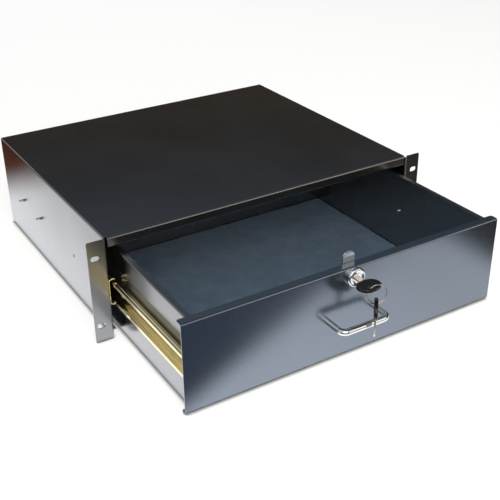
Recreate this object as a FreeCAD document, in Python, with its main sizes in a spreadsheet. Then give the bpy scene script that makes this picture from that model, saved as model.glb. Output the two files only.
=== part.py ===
"""Sliding rack drawer, 3U high, for a 19 inch rack.

A folded sheet-steel casing is bolted to the rack by its two ears. A sheet-steel drawer runs
out of it on a pair of ball slides. The drawer front carries a cam lock with its key, a ring
with the spare key, and a D handle.

Frame: millimetres, X across the rack, Y from the front to the back, Z up. The origin is the
centre of the four ear slots, on the rear face of the ears, which is the face that meets the
rack's posts. The drawer is modelled partly pulled out.
"""
import FreeCAD, Part
import math
import os
import Sketcher
from FreeCAD import Vector

# ---------------------------------------------------------------- driving dimensions
SIZES = [
    # casing
    ("rack_width", 482.6, "overall width across the ears"),
    ("rack_height", 132.5, "3U, less the usual clearance"),
    ("ear_wide", 22.1, "each ear, beyond its side wall"),
    ("casing_width", "=rack_width - 2 * ear_wide", "outside of the side walls"),
    ("casing_depth", 368.0, "front face of the ears to the back"),
    ("casing_wall", 1.2, "casing sheet"),
    ("casing_bend", 1.0, "inside radius of the casing's bends"),
    ("front_zone", 3.4, "depth of the bends behind the ears"),
    ("slot_edge", 8.75, "ear slot centres from the ears' outer edges"),
    ("slot_across", "=rack_width - 2 * slot_edge", "ear slot centres across the rack"),
    ("slot_upright", 88.9, "ear slot centres up the rack"),
    ("slot_long", 10.3, "ear slot, end to end"),
    ("slot_tall", 6.8, "ear slot width"),
    ("ear_corner", 2.0, "corner radius of the ears"),
    ("lip_height", 12.2, "front edge of the casing's top, folded down"),
    ("lip_return", 10.5, "then folded back, a keeper for the lock cam"),
    ("lip_gap", 3.6, "relief between the lip and each side wall"),
    ("foot_flange", 10.0, "bottom edges of the side walls, folded inward"),
    ("foot_setback", 16.0, "start of those folds behind the ears"),
    ("rear_flange", 12.0, "rear edges of the side walls, folded inward"),
    ("rear_inset", 0.8, "rear panel stops short of the casing's outside"),
    ("rear_rivets", 3.0, "rivets up each side of the rear panel"),
    ("rivet_radius", 1.6, "blind rivet shank"),
    ("rivet_head", 3.2, "blind rivet head radius"),
    ("rivet_dome", 1.1, "blind rivet head height"),
    # drawer
    ("pull_out", 173.6, "how far the drawer stands open"),
    ("drawer_rise", 1.0, "drawer bottom above the casing's feet"),
    ("panel_side", 3.7, "drawer front short of the casing's outside, each side"),
    ("panel_width", "=casing_width - 2 * panel_side", "drawer front"),
    ("lip_clear", 7.3, "casing's front lip above the drawer"),
    ("panel_height", "=rack_height - lip_height - lip_clear - drawer_rise",
     "drawer front and tray walls"),
    ("panel_wall", 1.2, "drawer front sheet"),
    ("panel_bend", 1.0, "inside radius of the drawer front's bends"),
    ("panel_top_lip", 10.9, "top edge of the drawer front, folded back"),
    ("panel_bottom_lip", 8.5, "bottom edge of the drawer front, folded back"),
    ("lip_corner", 3.0, "corner radius of those folds"),
    ("tray_depth", "=slide_long", "back of the drawer front to the tray's back"),
    ("tray_wall", 1.0, "tray sheet"),
    ("tray_bend", 1.0, "inside radius of the tray's bends"),
    ("tray_flange", 7.3, "top edges of the tray, folded inward"),
    ("weld_tab", 14.0, "tray's front edges, welded behind the drawer front"),
    ("mat_thick", 3.0, "loose anti-slip mat"),
    ("mat_gap", 0.8, "mat to tray walls"),
    ("mat_corner", 4.0, "corner radius of the mat"),
    # slides
    ("slide_space", 12.7, "room for a slide between casing and tray"),
    ("slide_rear", 14.5, "rear end of the outer member before the casing's back"),
    ("slide_long", "=casing_depth - casing_wall - slide_front - slide_rear", "both slide members"),
    ("slide_travel", 254.0, "slide travel, closed to open"),
    ("slide_front", 2.3, "front end of the outer member behind the ears"),
    ("slide_drop", 6.0, "slide centre below the middle of the casing"),
    ("slide_wall", 1.2, "slide steel"),
    ("slide_bend", 2.0, "inside radius of the slide's bends"),
    ("outer_deep", "=slide_space - 4.7", "outer member, across the drawer"),
    ("inner_deep", "=slide_space - 3.7", "inner member, across the drawer"),
    ("inner_lip", 4.0, "turned-in lips of the inner member, outside"),
    ("ball_row", 14.8, "ball rows above and below the slide centre"),
    ("ball_inset", "=slide_space / 2 - 0.55", "ball rows from the casing wall"),
    ("ball_radius", 1.5, "slide balls"),
    ("ball_clear", 0.25, "ball to its races and its cage"),
    ("race_edge", 0.8, "height of the races' shoulders off the ball row"),
    ("cage_long", 90.0, "ball cage"),
    ("cage_wall", 0.6, "ball cage strip"),
    ("cage_inset", 2.6, "ball cage from the casing wall"),
    ("cage_deep", "=ball_inset + 0.2", "ball cage, across the drawer"),
    ("cage_balls", 8.0, "balls in each row"),
    ("cage_window", 5.0, "half height of the ball cage's middle cut-outs"),
    # screws
    ("screw_radius", 1.95, "slide screw thread"),
    ("screw_hole", 2.1, "slide screw holes"),
    ("screw_head", 3.6, "slide screw head radius"),
    ("outer_head_tall", 1.0, "flat heads inside the outer member"),
    ("outer_screw_proud", 6.0, "casing screws stand out of the side walls"),
    ("outer_screw_one", 28.0, "casing screw behind the ears"),
    ("outer_screw_two", "=casing_depth - 137", "casing screw behind the ears"),
    ("outer_screw_three", "=casing_depth - 69", "casing screw behind the ears"),
    ("spare_hole_place", 108.0, "unused hole behind the ears"),
    ("inner_head_tall", 2.2, "pan heads inside the inner member"),
    ("inner_screw_proud", 4.0, "tray screws stand into the tray"),
    ("inner_screw_one", 44.0, "tray screw behind the drawer front"),
    ("inner_screw_two", 162.0, "tray screw behind the drawer front"),
    ("inner_screw_three", "=slide_long - 50", "tray screw behind the drawer front"),
    ("inner_hole_place", 58.0, "open hole in the inner member"),
    ("inner_slot_place", 68.0, "open slot in the inner member"),
    ("inner_slot_long", 8.0, "open slot, end to end"),
    # lock
    ("lock_below_top", "=nut_across / 2 + 2.5", "lock centre below the drawer's top"),
    ("lock_head_radius", 11.6, "lock bezel"),
    ("lock_head_proud", 5.6, "lock bezel height"),
    ("lock_head_round", 2.2, "bezel edge radius"),
    ("lock_recess", 0.5, "plug face below the bezel's face"),
    ("lock_barrel_radius", 8.0, "threaded barrel"),
    ("lock_barrel_clear", 0.2, "barrel in the drawer front"),
    ("lock_barrel_long", 11.2, "barrel end behind the drawer's face"),
    ("plug_radius", 6.0, "turning plug"),
    ("plug_clear", 0.1, "plug in its barrel"),
    ("plug_tail", 7.0, "square tail of the plug"),
    ("tail_clear", 0.1, "cam on the square tail"),
    ("cam_gap", 0.2, "cam behind the barrel"),
    ("cam_thick", 2.0, "cam plate"),
    ("cam_width", 16.5, "cam plate"),
    ("cam_heel", 8.25, "cam below the lock's centre"),
    ("cam_reach", 26.3, "cam tip from the lock's centre"),
    ("nut_across", "=2 * lock_barrel_radius + 3.2", "lock nut across flats"),
    ("nut_thick", 4.0, "lock nut"),
    ("washer_radius", 6.5, "cam washer"),
    ("washer_thick", 0.8, "cam washer"),
    ("cam_screw_head", 4.0, "cam screw head radius"),
    ("cam_screw_tall", 2.4, "cam screw head height"),
    ("cam_screw_radius", 1.95, "cam screw thread"),
    ("cam_screw_deep", 2.3, "cam screw in the plug's tail"),
    # keys, two alike
    ("key_thick", 2.0, "key blade"),
    ("key_wide", 7.4, "key blade"),
    ("key_deep", 15.0, "blade inside the plug"),
    ("key_neck", 8.7, "bare blade between plug and head"),
    ("key_root", 6.0, "blade held in the plastic head"),
    ("keyway_clear", 0.2, "blade in the keyway"),
    ("keyhead_half_wide", 14.8, "key head, half across"),
    ("keyhead_half_long", 11.4, "key head, half along the blade"),
    ("keyhead_thick", 4.2, "key head"),
    ("keyhead_round", 1.6, "key head edge radius"),
    ("ring_slot_back", 5.6, "ring slot from the head's outer edge"),
    ("ring_slot_long", 11.0, "ring slot, end to end"),
    ("ring_slot_wide", 4.6, "ring slot width"),
    ("ring_radius", 11.8, "key ring, to the middle of its wire"),
    ("ring_wire", 0.7, "key ring wire radius"),
    ("ring_side", 5.6, "key ring centre beside the lock's axis"),
    ("ring_front", 1.9, "key ring centre in front of the ring slot"),
    ("ring_drop", "=ring_radius - 3.4", "key ring centre below the lock's axis"),
    ("ring_turn", 16.0, "key ring turned about the upright"),
    ("spare_turn", 39.0, "spare key turned about the upright"),
    ("spare_clear", 0.25, "spare key's slot above the ring's wire"),
    # handle
    ("handle_pitch", 64.0, "handle legs, centre to centre"),
    ("handle_reach", 24.5, "handle bar centre off the drawer front"),
    ("handle_radius", 4.0, "handle rod"),
    ("handle_bend", 8.0, "bend radius at the rod's centre"),
    ("handle_height", 49.0, "handle above the drawer's bottom"),
    ("handle_screw_hole", 1.75, "tapped hole in each leg"),
    ("handle_screw_radius", 1.65, "handle screw thread"),
    ("handle_screw_deep", 9.0, "handle screw into the leg"),
    ("handle_panel_hole", 2.2, "handle screw hole in the drawer front"),
    ("handle_head_radius", 3.6, "handle screw head"),
    ("handle_head_tall", 2.2, "handle screw head"),
]

doc = FreeCAD.newDocument("sliding_rack_drawer")
sheet = doc.addObject("Spreadsheet::Sheet", "Sizes")
for row, (alias, _, meaning) in enumerate(SIZES, start=1):
    sheet.set(f"A{row}", meaning)
    sheet.setAlias(f"B{row}", alias)
for row, (_, amount, _) in enumerate(SIZES, start=1):
    sheet.set(f"B{row}", str(amount))
doc.recompute()


class Size:
    """A length that carries its number and the sheet expression that gives it."""

    def __init__(self, number, text):
        self.number = float(number)
        self.text = text

    def __add__(self, other):
        other = size(other)
        return Size(self.number + other.number, f"({self.text} + {other.text})")

    def __sub__(self, other):
        other = size(other)
        return Size(self.number - other.number, f"({self.text} - {other.text})")

    def __mul__(self, factor):
        factor = size(factor)
        return Size(self.number * factor.number, f"({self.text} * {factor.text})")

    def __truediv__(self, factor):
        factor = size(factor)
        return Size(self.number / factor.number, f"({self.text} / {factor.text})")

    def __neg__(self):
        return Size(-self.number, f"(-1 * {self.text})")

    __radd__ = __add__
    __rmul__ = __mul__


def size(value):
    """A plain number as a Size; a Size unchanged."""
    if isinstance(value, Size):
        return value
    return Size(value, repr(float(value)))


def cell(alias):
    """The Size held in the sheet under this alias."""
    return Size(sheet.get(alias), f"Sizes.{alias}")


def bind(feature, name, value):
    """Tie a property to its sheet expression."""
    feature.setExpression(name, size(value).text)


def count(alias):
    """A whole number held in the sheet."""
    return int(round(sheet.get(alias)))


# ---------------------------------------------------------------- sketches and features
# Planes with their local axes: XY gives (x, y), XZ gives (x, z), YZ gives (y, z).
PLANE_NORMAL = {"XY": 1, "XZ": -1, "YZ": 1}


def new_body(name):
    body = doc.addObject("PartDesign::Body", name)
    body.Label = name
    return body


def sketch_on(body, plane, offset):
    """An empty sketch on one of the body's origin planes, moved along the plane's axis."""
    sketch = body.newObject("Sketcher::SketchObject", f"{body.Name}_sketch")
    support = [item for item in body.Origin.OriginFeatures if item.Role == f"{plane}_Plane"][0]
    sketch.AttachmentSupport = [(support, "")]
    sketch.MapMode = "FlatFace"
    bind(sketch, "AttachmentOffset.Base.z", size(offset) * PLANE_NORMAL[plane])
    return sketch


def fix(sketch, kind, *references, value):
    """A dimension of the sketch, tied to its sheet expression."""
    value = size(value)
    index = sketch.addConstraint(Sketcher.Constraint(kind, *references, value.number))
    sketch.setExpression(f"Constraints[{index}]", value.text)


def fix_point(sketch, geometry, position, across, up):
    """Place one point of the sketch from its origin."""
    fix(sketch, "DistanceX", -1, 1, geometry, position, value=across)
    fix(sketch, "DistanceY", -1, 1, geometry, position, value=up)


def draw_circle(sketch, across, up, radius):
    across, up, radius = size(across), size(up), size(radius)
    centre = Vector(across.number, up.number, 0)
    circle = sketch.addGeometry(Part.Circle(centre, Vector(0, 0, 1), radius.number), False)
    fix_point(sketch, circle, 3, across, up)
    fix(sketch, "Radius", circle, value=radius)


def draw_arc_segment(sketch, across, up, radius, chord_up):
    """The part of a circle beyond a level chord, on the far side from the circle's centre."""
    across, up, radius, chord_up = size(across), size(up), size(radius), size(chord_up)
    height = chord_up.number - up.number
    half = math.sqrt(radius.number ** 2 - height ** 2)
    turn = math.atan2(abs(height), half)
    start, end = (turn, math.pi - turn) if height > 0 else (math.pi + turn, 2 * math.pi - turn)
    centre = Vector(across.number, up.number, 0)
    circle = Part.Circle(centre, Vector(0, 0, 1), radius.number)
    arc = sketch.addGeometry(Part.ArcOfCircle(circle, start, end), False)
    first = centre + Vector(math.cos(start), math.sin(start), 0) * radius.number
    last = centre + Vector(math.cos(end), math.sin(end), 0) * radius.number
    line = sketch.addGeometry(Part.LineSegment(last, first), False)
    sketch.addConstraint(Sketcher.Constraint("Coincident", arc, 2, line, 1))
    sketch.addConstraint(Sketcher.Constraint("Coincident", line, 2, arc, 1))
    sketch.addConstraint(Sketcher.Constraint("Horizontal", line))
    fix_point(sketch, arc, 3, across, up)
    fix(sketch, "Radius", arc, value=radius)
    fix(sketch, "DistanceY", -1, 1, line, 1, value=chord_up)


def draw_slot(sketch, across, up, length, width):
    """A round-ended slot that runs along the sketch's first axis."""
    across, up, length, width = size(across), size(up), size(length), size(width)
    radius = width / 2
    reach = (length - width) / 2
    left, right = across - reach, across + reach
    arcs = []
    for centre, start in ((right, -math.pi / 2), (left, math.pi / 2)):
        circle = Part.Circle(Vector(centre.number, up.number, 0), Vector(0, 0, 1), radius.number)
        arcs.append(sketch.addGeometry(Part.ArcOfCircle(circle, start, start + math.pi), False))
        fix_point(sketch, arcs[-1], 3, centre, up)
        fix(sketch, "Radius", arcs[-1], value=radius)
    for here, there, side in ((0, 1, 1), (1, 0, -1)):
        centre_here, centre_there = (right, left) if here == 0 else (left, right)
        line = Part.LineSegment(Vector(centre_here.number, up.number + side * radius.number, 0),
                                Vector(centre_there.number, up.number + side * radius.number, 0))
        edge = sketch.addGeometry(line, False)
        sketch.addConstraint(Sketcher.Constraint("Coincident", arcs[here], 2, edge, 1))
        sketch.addConstraint(Sketcher.Constraint("Coincident", edge, 2, arcs[there], 1))


def draw_outline(sketch, corners, closed=True):
    """Straight edges through the corners (across, up[, radius]), with tangent arcs.

    A level or upright edge is held by its place, so a rounded corner needs one such edge on
    each side. Any other corner is held by its own two distances.
    """
    points = [(size(c[0]), size(c[1]), size(c[2]) if len(c) > 2 else None) for c in corners]
    total = len(points)
    flat = [Vector(p[0].number, p[1].number, 0) for p in points]
    last_edge = total if closed else total - 1

    def towards(start, end):
        return (flat[end % total] - flat[start % total]).normalize()

    edges = []
    for index in range(last_edge):
        start, end = index, (index + 1) % total
        along = towards(start, end)
        begin, finish = flat[start], flat[end]
        if points[start][2]:
            begin = begin + along * points[start][2].number
        if points[end][2]:
            finish = finish - along * points[end][2].number
        edge = sketch.addGeometry(Part.LineSegment(begin, finish), False)
        level, upright = abs(along.y) < 1e-9, abs(along.x) < 1e-9
        if level:
            sketch.addConstraint(Sketcher.Constraint("Horizontal", edge))
            fix(sketch, "DistanceY", -1, 1, edge, 1, value=points[start][1])
        elif upright:
            sketch.addConstraint(Sketcher.Constraint("Vertical", edge))
            fix(sketch, "DistanceX", -1, 1, edge, 1, value=points[start][0])
        edges.append((edge, level, upright))

    for index in range(total):
        before = edges[index - 1] if closed or index > 0 else None
        after = edges[index] if index < last_edge else None
        if before and after and points[index][2]:
            radius = points[index][2]
            arrive, leave = towards(index - 1, index), towards(index, index + 1)
            left_turn = arrive.x * leave.y - arrive.y * leave.x > 0
            centre = flat[index] + (leave - arrive) * radius.number
            inward = flat[index] - arrive * radius.number - centre
            outward = flat[index] + leave * radius.number - centre
            first, second = (inward, outward) if left_turn else (outward, inward)
            start = math.atan2(first.y, first.x)
            end = math.atan2(second.y, second.x)
            if end < start:
                end += 2 * math.pi
            circle = Part.Circle(centre, Vector(0, 0, 1), radius.number)
            arc = sketch.addGeometry(Part.ArcOfCircle(circle, start, end), False)
            enter, leave_at = (1, 2) if left_turn else (2, 1)
            sketch.addConstraint(Sketcher.Constraint("Tangent", before[0], 2, arc, enter))
            sketch.addConstraint(Sketcher.Constraint("Tangent", arc, leave_at, after[0], 1))
            fix(sketch, "Radius", arc, value=radius)
            continue
        if before and after:
            sketch.addConstraint(Sketcher.Constraint("Coincident", before[0], 2, after[0], 1))
        edge, position = (after[0], 1) if after else (before[0], 2)
        beside = [item for item in (before, after) if item]
        if not any(upright for _, _, upright in beside):
            fix(sketch, "DistanceX", -1, 1, edge, position, value=points[index][0])
        if not any(level for _, level, _ in beside):
            fix(sketch, "DistanceY", -1, 1, edge, position, value=points[index][1])


def prism(body, plane, start, length, draw, cut=False):
    """Pad or pocket from `start` over `length`, towards the positive axis of the plane."""
    sketch = sketch_on(body, plane, start)
    draw(sketch)
    kind = "Pocket" if cut else "Pad"
    before = body.Shape.Volume if cut else None
    feature = body.newObject(f"PartDesign::{kind}", f"{body.Name}_{kind.lower()}")
    feature.Profile = sketch
    bind(feature, "Length", length)
    feature.Reversed = (PLANE_NORMAL[plane] < 0) != cut
    doc.recompute()
    if cut and body.Shape.Volume > before - 1e-6:
        raise RuntimeError(f"{body.Name}: a pocket cut nothing")
    return feature


def round_edges(body, radius, wanted):
    """Fillet the edges of the body's last feature for which wanted(edge) is true."""
    names = [f"Edge{i + 1}" for i, edge in enumerate(body.Tip.Shape.Edges) if wanted(edge)]
    if not names:
        raise RuntimeError(f"{body.Name}: no edge to round")
    base = body.Tip
    fillet = body.newObject("PartDesign::Fillet", f"{body.Name}_fillet")
    fillet.Base = (base, names)
    bind(fillet, "Radius", radius)
    doc.recompute()


def runs_along(edge, axis):
    """True for a straight edge parallel to the axis."""
    if len(edge.Vertexes) != 2 or edge.Curve.TypeId != "Part::GeomLine":
        return False
    return edge.Curve.Direction.cross(axis).Length < 1e-6


# ---------------------------------------------------------------- Part primitives
X_AXIS, Y_AXIS, Z_AXIS = Vector(1, 0, 0), Vector(0, 1, 0), Vector(0, 0, 1)


def place(item, point, axis=Z_AXIS):
    """Put a primitive at a point, with its own Z axis turned to `axis`."""
    item.Placement = FreeCAD.Placement(Vector(), FreeCAD.Rotation(Z_AXIS, axis))
    for name, value in zip("xyz", point):
        bind(item, f"Placement.Base.{name}", value)
    return item


def primitive(kind, name, point, axis=Z_AXIS, **dimensions):
    item = doc.addObject(f"Part::{kind}", name)
    for key, value in dimensions.items():
        bind(item, key, value)
    return place(item, point, axis)


def cylinder(name, point, axis, radius, height):
    return primitive("Cylinder", name, point, axis, Radius=radius, Height=height)


def box(name, corner, length, width, height):
    return primitive("Box", name, corner, Length=length, Width=width, Height=height)


def combine(name, shapes, kind="MultiFuse"):
    """A fuse, or a compound of separate solids, under the piece's own label."""
    item = doc.addObject(f"Part::{kind}", name)
    if kind == "MultiFuse":
        item.Shapes = shapes
        item.Refine = True
    else:
        item.Links = shapes
    item.Label = name
    return item


def subtract(name, base, tool):
    item = doc.addObject("Part::Cut", name)
    item.Base = base
    item.Tool = tool
    item.Label = name
    return item


# ---------------------------------------------------------------- places worked out from the sizes
top = cell("rack_height") / 2
bottom = -top
wall = cell("casing_wall")
half_casing = cell("casing_width") / 2
inner_wall = half_casing - wall
ear_face = -wall
casing_back = ear_face + cell("casing_depth")
outer_bend = cell("casing_bend") + wall

panel_face = ear_face - cell("pull_out")
panel_back = panel_face + cell("panel_wall")
drawer_bottom = bottom + cell("drawer_rise")
drawer_top = drawer_bottom + cell("panel_height")
half_tray = inner_wall - cell("slide_space")
tray_inside = half_tray - cell("tray_wall")
tray_back = panel_back + cell("tray_depth")
floor_top = drawer_bottom + cell("tray_wall")

slide_level = -cell("slide_drop")
if cell("pull_out").number > cell("slide_travel").number:
    raise RuntimeError("the drawer stands open further than its slides travel")
inner_front = cell("slide_front") - cell("pull_out")
cage_middle = cell("slide_front") + (cell("slide_long") - cell("pull_out")) / 2
race_radius = cell("ball_radius") + cell("ball_clear")

lock_level = drawer_top - cell("lock_below_top")
lock_face = panel_face - cell("lock_head_proud")
plug_face = lock_face + cell("lock_recess")
barrel_end = panel_face + cell("lock_barrel_long")
cam_front = barrel_end + cell("cam_gap")
cam_back = cam_front + cell("cam_thick")
keyhead_middle = plug_face - cell("key_neck") - cell("keyhead_half_long")
ring_middle = (cell("ring_side"),
               keyhead_middle - cell("keyhead_half_long") + cell("ring_slot_back") - cell("ring_front"),
               lock_level - cell("ring_drop"))
handle_level = drawer_bottom + cell("handle_height")

OUTER_SCREWS = [cell("outer_screw_one"), cell("outer_screw_two"), cell("outer_screw_three")]
INNER_SCREWS = [panel_face + cell("inner_screw_one"), panel_face + cell("inner_screw_two"),
                panel_face + cell("inner_screw_three")]
SIDES = {"left": -1, "right": 1}


# ---------------------------------------------------------------- casing
def make_casing_shell():
    """Top, side walls, ears, front lip and flanges, folded from one sheet."""
    body = new_body("casing_shell")
    bend, zone, foot = cell("casing_bend"), cell("front_zone"), cell("foot_flange")
    rear_plane = casing_back - wall

    def channel(sketch):
        draw_outline(sketch, [
            (-half_casing + foot, bottom), (-half_casing, bottom, outer_bend),
            (-half_casing, top, outer_bend), (half_casing, top, outer_bend),
            (half_casing, bottom, outer_bend), (half_casing - foot, bottom),
            (half_casing - foot, bottom + wall), (inner_wall, bottom + wall, bend),
            (inner_wall, top - wall, bend), (-inner_wall, top - wall, bend),
            (-inner_wall, bottom + wall, bend), (-half_casing + foot, bottom + wall)])

    prism(body, "XZ", zone, rear_plane - zone, channel)

    def front_of_feet(sketch):
        for side in (-1, 1):
            near, far = inner_wall - bend, half_casing - foot - 1
            draw_outline(sketch, [(side * near, bottom - 1), (side * far, bottom - 1),
                                  (side * far, bottom + wall + 1), (side * near, bottom + wall + 1)])

    prism(body, "XZ", zone - 1, cell("foot_setback") - zone + 1, front_of_feet, cut=True)

    half_rack = cell("rack_width") / 2
    for side in (-1, 1):
        def ear_bend(sketch, side=side):
            draw_outline(sketch, [
                (side * (half_casing + outer_bend), ear_face), (side * inner_wall, ear_face, outer_bend),
                (side * inner_wall, zone), (side * half_casing, zone),
                (side * half_casing, 0, bend), (side * (half_casing + outer_bend), 0)])

        prism(body, "XY", bottom, cell("rack_height") - outer_bend, ear_bend)

        def ear(sketch, side=side):
            near, far, corner = side * (half_casing + bend), side * half_rack, cell("ear_corner")
            draw_outline(sketch, [(near, bottom), (far, bottom, corner), (far, top, corner), (near, top)])
            for level in (-1, 1):
                draw_slot(sketch, side * cell("slot_across") / 2, level * cell("slot_upright") / 2,
                          cell("slot_long"), cell("slot_tall"))

        prism(body, "XZ", ear_face, wall, ear)

        def rear_fold(sketch, side=side):
            draw_outline(sketch, [
                (side * (half_casing - cell("rear_flange")), rear_plane),
                (side * half_casing, rear_plane, outer_bend),
                (side * half_casing, rear_plane - zone), (side * inner_wall, rear_plane - zone),
                (side * inner_wall, rear_plane - wall, bend),
                (side * (half_casing - cell("rear_flange")), rear_plane - wall)])

        prism(body, "XY", bottom + outer_bend, cell("rack_height") - outer_bend * 2, rear_fold)

    lip_bottom = top - cell("lip_height")
    half_lip = half_casing - cell("lip_gap")

    def front_lip(sketch):
        draw_outline(sketch, [
            (zone, top), (ear_face, top, outer_bend), (ear_face, lip_bottom, outer_bend),
            (ear_face + cell("lip_return"), lip_bottom),
            (ear_face + cell("lip_return"), lip_bottom + wall),
            (0, lip_bottom + wall, bend), (0, top - wall, bend), (zone, top - wall)])

    prism(body, "YZ", -half_lip, half_lip * 2, front_lip)

    def side_holes(sketch):
        for place_back in OUTER_SCREWS:
            draw_circle(sketch, place_back, slide_level, cell("screw_hole"))
        draw_circle(sketch, cell("spare_hole_place"), slide_level, cell("screw_hole"))

    prism(body, "YZ", -half_casing - 1, cell("casing_width") + 2, side_holes, cut=True)

    def rivet_holes(sketch):
        for across, up in rear_rivet_places():
            draw_circle(sketch, across, up, cell("rivet_radius") + 0.05)

    prism(body, "XZ", rear_plane - wall - 1, wall + 2, rivet_holes, cut=True)
    return body


def rear_rivet_places():
    """Centres of the rear rivets, up both sides."""
    across = half_casing - cell("rear_flange") / 2
    rows = count("rear_rivets")
    spread = cell("rack_height") * 0.7
    for side in (-1, 1):
        for row in range(rows):
            yield side * across, spread * (row / (rows - 1) - 0.5)


def make_rear_panel():
    """Flat back of the casing, riveted to the folded side walls."""
    body = new_body("rear_panel")
    half = half_casing - cell("rear_inset")
    edge = top - cell("rear_inset")
    corner = cell("ear_corner")

    def plate(sketch):
        draw_outline(sketch, [(-half, bottom + outer_bend, corner), (half, bottom + outer_bend, corner),
                              (half, edge, corner), (-half, edge, corner)])
        for across, up in rear_rivet_places():
            draw_circle(sketch, across, up, cell("rivet_radius") + 0.05)

    prism(body, "XZ", casing_back - wall, wall, plate)
    return body


def make_rear_rivets():
    """Blind rivets: a dome outside, a shank through both sheets and a formed head inside."""
    rivets = []
    for index, (across, up) in enumerate(rear_rivet_places()):
        shank = cylinder(f"rivet_shank_{index}", (across, casing_back - wall * 2, up), Y_AXIS,
                         cell("rivet_radius"), wall * 2)
        dome = primitive("Cone", f"rivet_dome_{index}", (across, casing_back, up), Y_AXIS,
                         Radius1=cell("rivet_head"), Radius2=cell("rivet_head") * 0.55,
                         Height=cell("rivet_dome"))
        tail = cylinder(f"rivet_tail_{index}", (across, casing_back - wall * 2 - cell("rivet_dome"), up),
                        Y_AXIS, cell("rivet_head") * 0.8, cell("rivet_dome"))
        rivets.append(combine(f"rivet_{index}", [shank, dome, tail]))
    return combine("rear_rivets_all", rivets, "Compound")


# ---------------------------------------------------------------- drawer
def make_front_panel():
    """Drawer front: a plate with its top and bottom edges folded back."""
    body = new_body("front_panel")
    thick, bend = cell("panel_wall"), cell("panel_bend")
    around = bend + thick
    top_end = panel_face + cell("panel_top_lip")
    bottom_end = panel_face + cell("panel_bottom_lip")
    half = cell("panel_width") / 2

    def section(sketch):
        draw_outline(sketch, [
            (bottom_end, drawer_bottom), (panel_face, drawer_bottom, around),
            (panel_face, drawer_top, around), (top_end, drawer_top), (top_end, drawer_top - thick),
            (panel_back, drawer_top - thick, bend), (panel_back, drawer_bottom + thick, bend),
            (bottom_end, drawer_bottom + thick)])

    prism(body, "YZ", -half, cell("panel_width"), section)

    def is_lip_corner(edge):
        at = edge.CenterOfMass
        outside = abs(abs(at.x) - half.number) < 1e-6
        behind = min(abs(at.y - top_end.number), abs(at.y - bottom_end.number)) < 1e-6
        return runs_along(edge, Z_AXIS) and outside and behind

    round_edges(body, cell("lip_corner"), is_lip_corner)

    def holes(sketch):
        draw_circle(sketch, 0, lock_level, cell("lock_barrel_radius") + cell("lock_barrel_clear"))
        for side in (-1, 1):
            draw_circle(sketch, side * cell("handle_pitch") / 2, handle_level, cell("handle_panel_hole"))

    prism(body, "XZ", panel_face - 1, thick + 2, holes, cut=True)
    return body


def make_drawer_tray():
    """Floor, side walls and back of the drawer, welded behind the drawer front by two tabs."""
    body = new_body("drawer_tray")
    thick, bend = cell("tray_wall"), cell("tray_bend")
    around = bend + thick
    flange = cell("tray_flange")
    lip_end = panel_face + cell("panel_top_lip")
    floor_start = panel_face + cell("panel_bottom_lip")

    def channel(sketch):
        draw_outline(sketch, [
            (-half_tray, drawer_bottom, around), (half_tray, drawer_bottom, around),
            (half_tray, drawer_top, around), (half_tray - flange, drawer_top),
            (half_tray - flange, drawer_top - thick), (tray_inside, drawer_top - thick, bend),
            (tray_inside, floor_top, bend), (-tray_inside, floor_top, bend),
            (-tray_inside, drawer_top - thick, bend), (-half_tray + flange, drawer_top - thick),
            (-half_tray + flange, drawer_top), (-half_tray, drawer_top, around)])

    prism(body, "XZ", lip_end, tray_back - lip_end, channel)

    def floor_strip(sketch):
        draw_outline(sketch, [(-half_tray + around, drawer_bottom), (half_tray - around, drawer_bottom),
                              (half_tray - around, floor_top), (-half_tray + around, floor_top)])

    prism(body, "XZ", floor_start, lip_end - floor_start, floor_strip)

    tab_bottom = drawer_bottom + cell("panel_wall") + cell("panel_bend") + 0.3
    tab_top = drawer_top - cell("panel_wall") - cell("panel_bend") - 0.3
    for side in (-1, 1):
        def tab(sketch, side=side):
            draw_outline(sketch, [
                (side * (half_tray - cell("weld_tab")), panel_back), (side * half_tray, panel_back, around),
                (side * half_tray, lip_end), (side * tray_inside, lip_end),
                (side * tray_inside, panel_back + thick, bend),
                (side * (half_tray - cell("weld_tab")), panel_back + thick)])

        prism(body, "XY", tab_bottom, tab_top - tab_bottom, tab)

    def back(sketch):
        draw_outline(sketch, [
            (tray_back, floor_top), (tray_back, drawer_top, around),
            (tray_back - flange, drawer_top), (tray_back - flange, drawer_top - thick),
            (tray_back - thick, drawer_top - thick, bend), (tray_back - thick, floor_top)])

    prism(body, "YZ", -half_tray + around, (half_tray - around) * 2, back)

    def back_edges(sketch):
        for side in (-1, 1):
            draw_outline(sketch, [
                (side * (half_tray - around), drawer_bottom + around),
                (side * tray_inside, drawer_bottom + around),
                (side * tray_inside, drawer_top - around), (side * (half_tray - around), drawer_top - around)])

    prism(body, "XZ", tray_back - thick, thick, back_edges)

    def screw_holes(sketch):
        for place_back in INNER_SCREWS:
            draw_circle(sketch, place_back, slide_level, cell("screw_hole"))

    prism(body, "YZ", -half_tray - 1, half_tray * 2 + 2, screw_holes, cut=True)
    return body


def make_floor_mat():
    """Loose anti-slip mat on the drawer's floor."""
    body = new_body("floor_mat")
    half = tray_inside - cell("mat_gap")
    front = panel_face + cell("panel_bottom_lip") + cell("mat_gap")
    back = tray_back - cell("tray_wall") - cell("mat_gap")
    corner = cell("mat_corner")

    def sheet_outline(sketch):
        draw_outline(sketch, [(-half, front, corner), (half, front, corner),
                              (half, back, corner), (-half, back, corner)])

    prism(body, "XY", floor_top, cell("mat_thick"), sheet_outline)
    edge_height = floor_top + cell("mat_thick")
    round_edges(body, cell("tray_bend") * 1.2,
                lambda edge: edge.BoundBox.ZLength < 1e-6
                and abs(edge.CenterOfMass.z - floor_top.number) < 1e-6)
    round_edges(body, cell("mat_thick") / 4,
                lambda edge: edge.BoundBox.ZLength < 1e-6
                and abs(edge.CenterOfMass.z - edge_height.number) < 1e-6)
    return body


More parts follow.
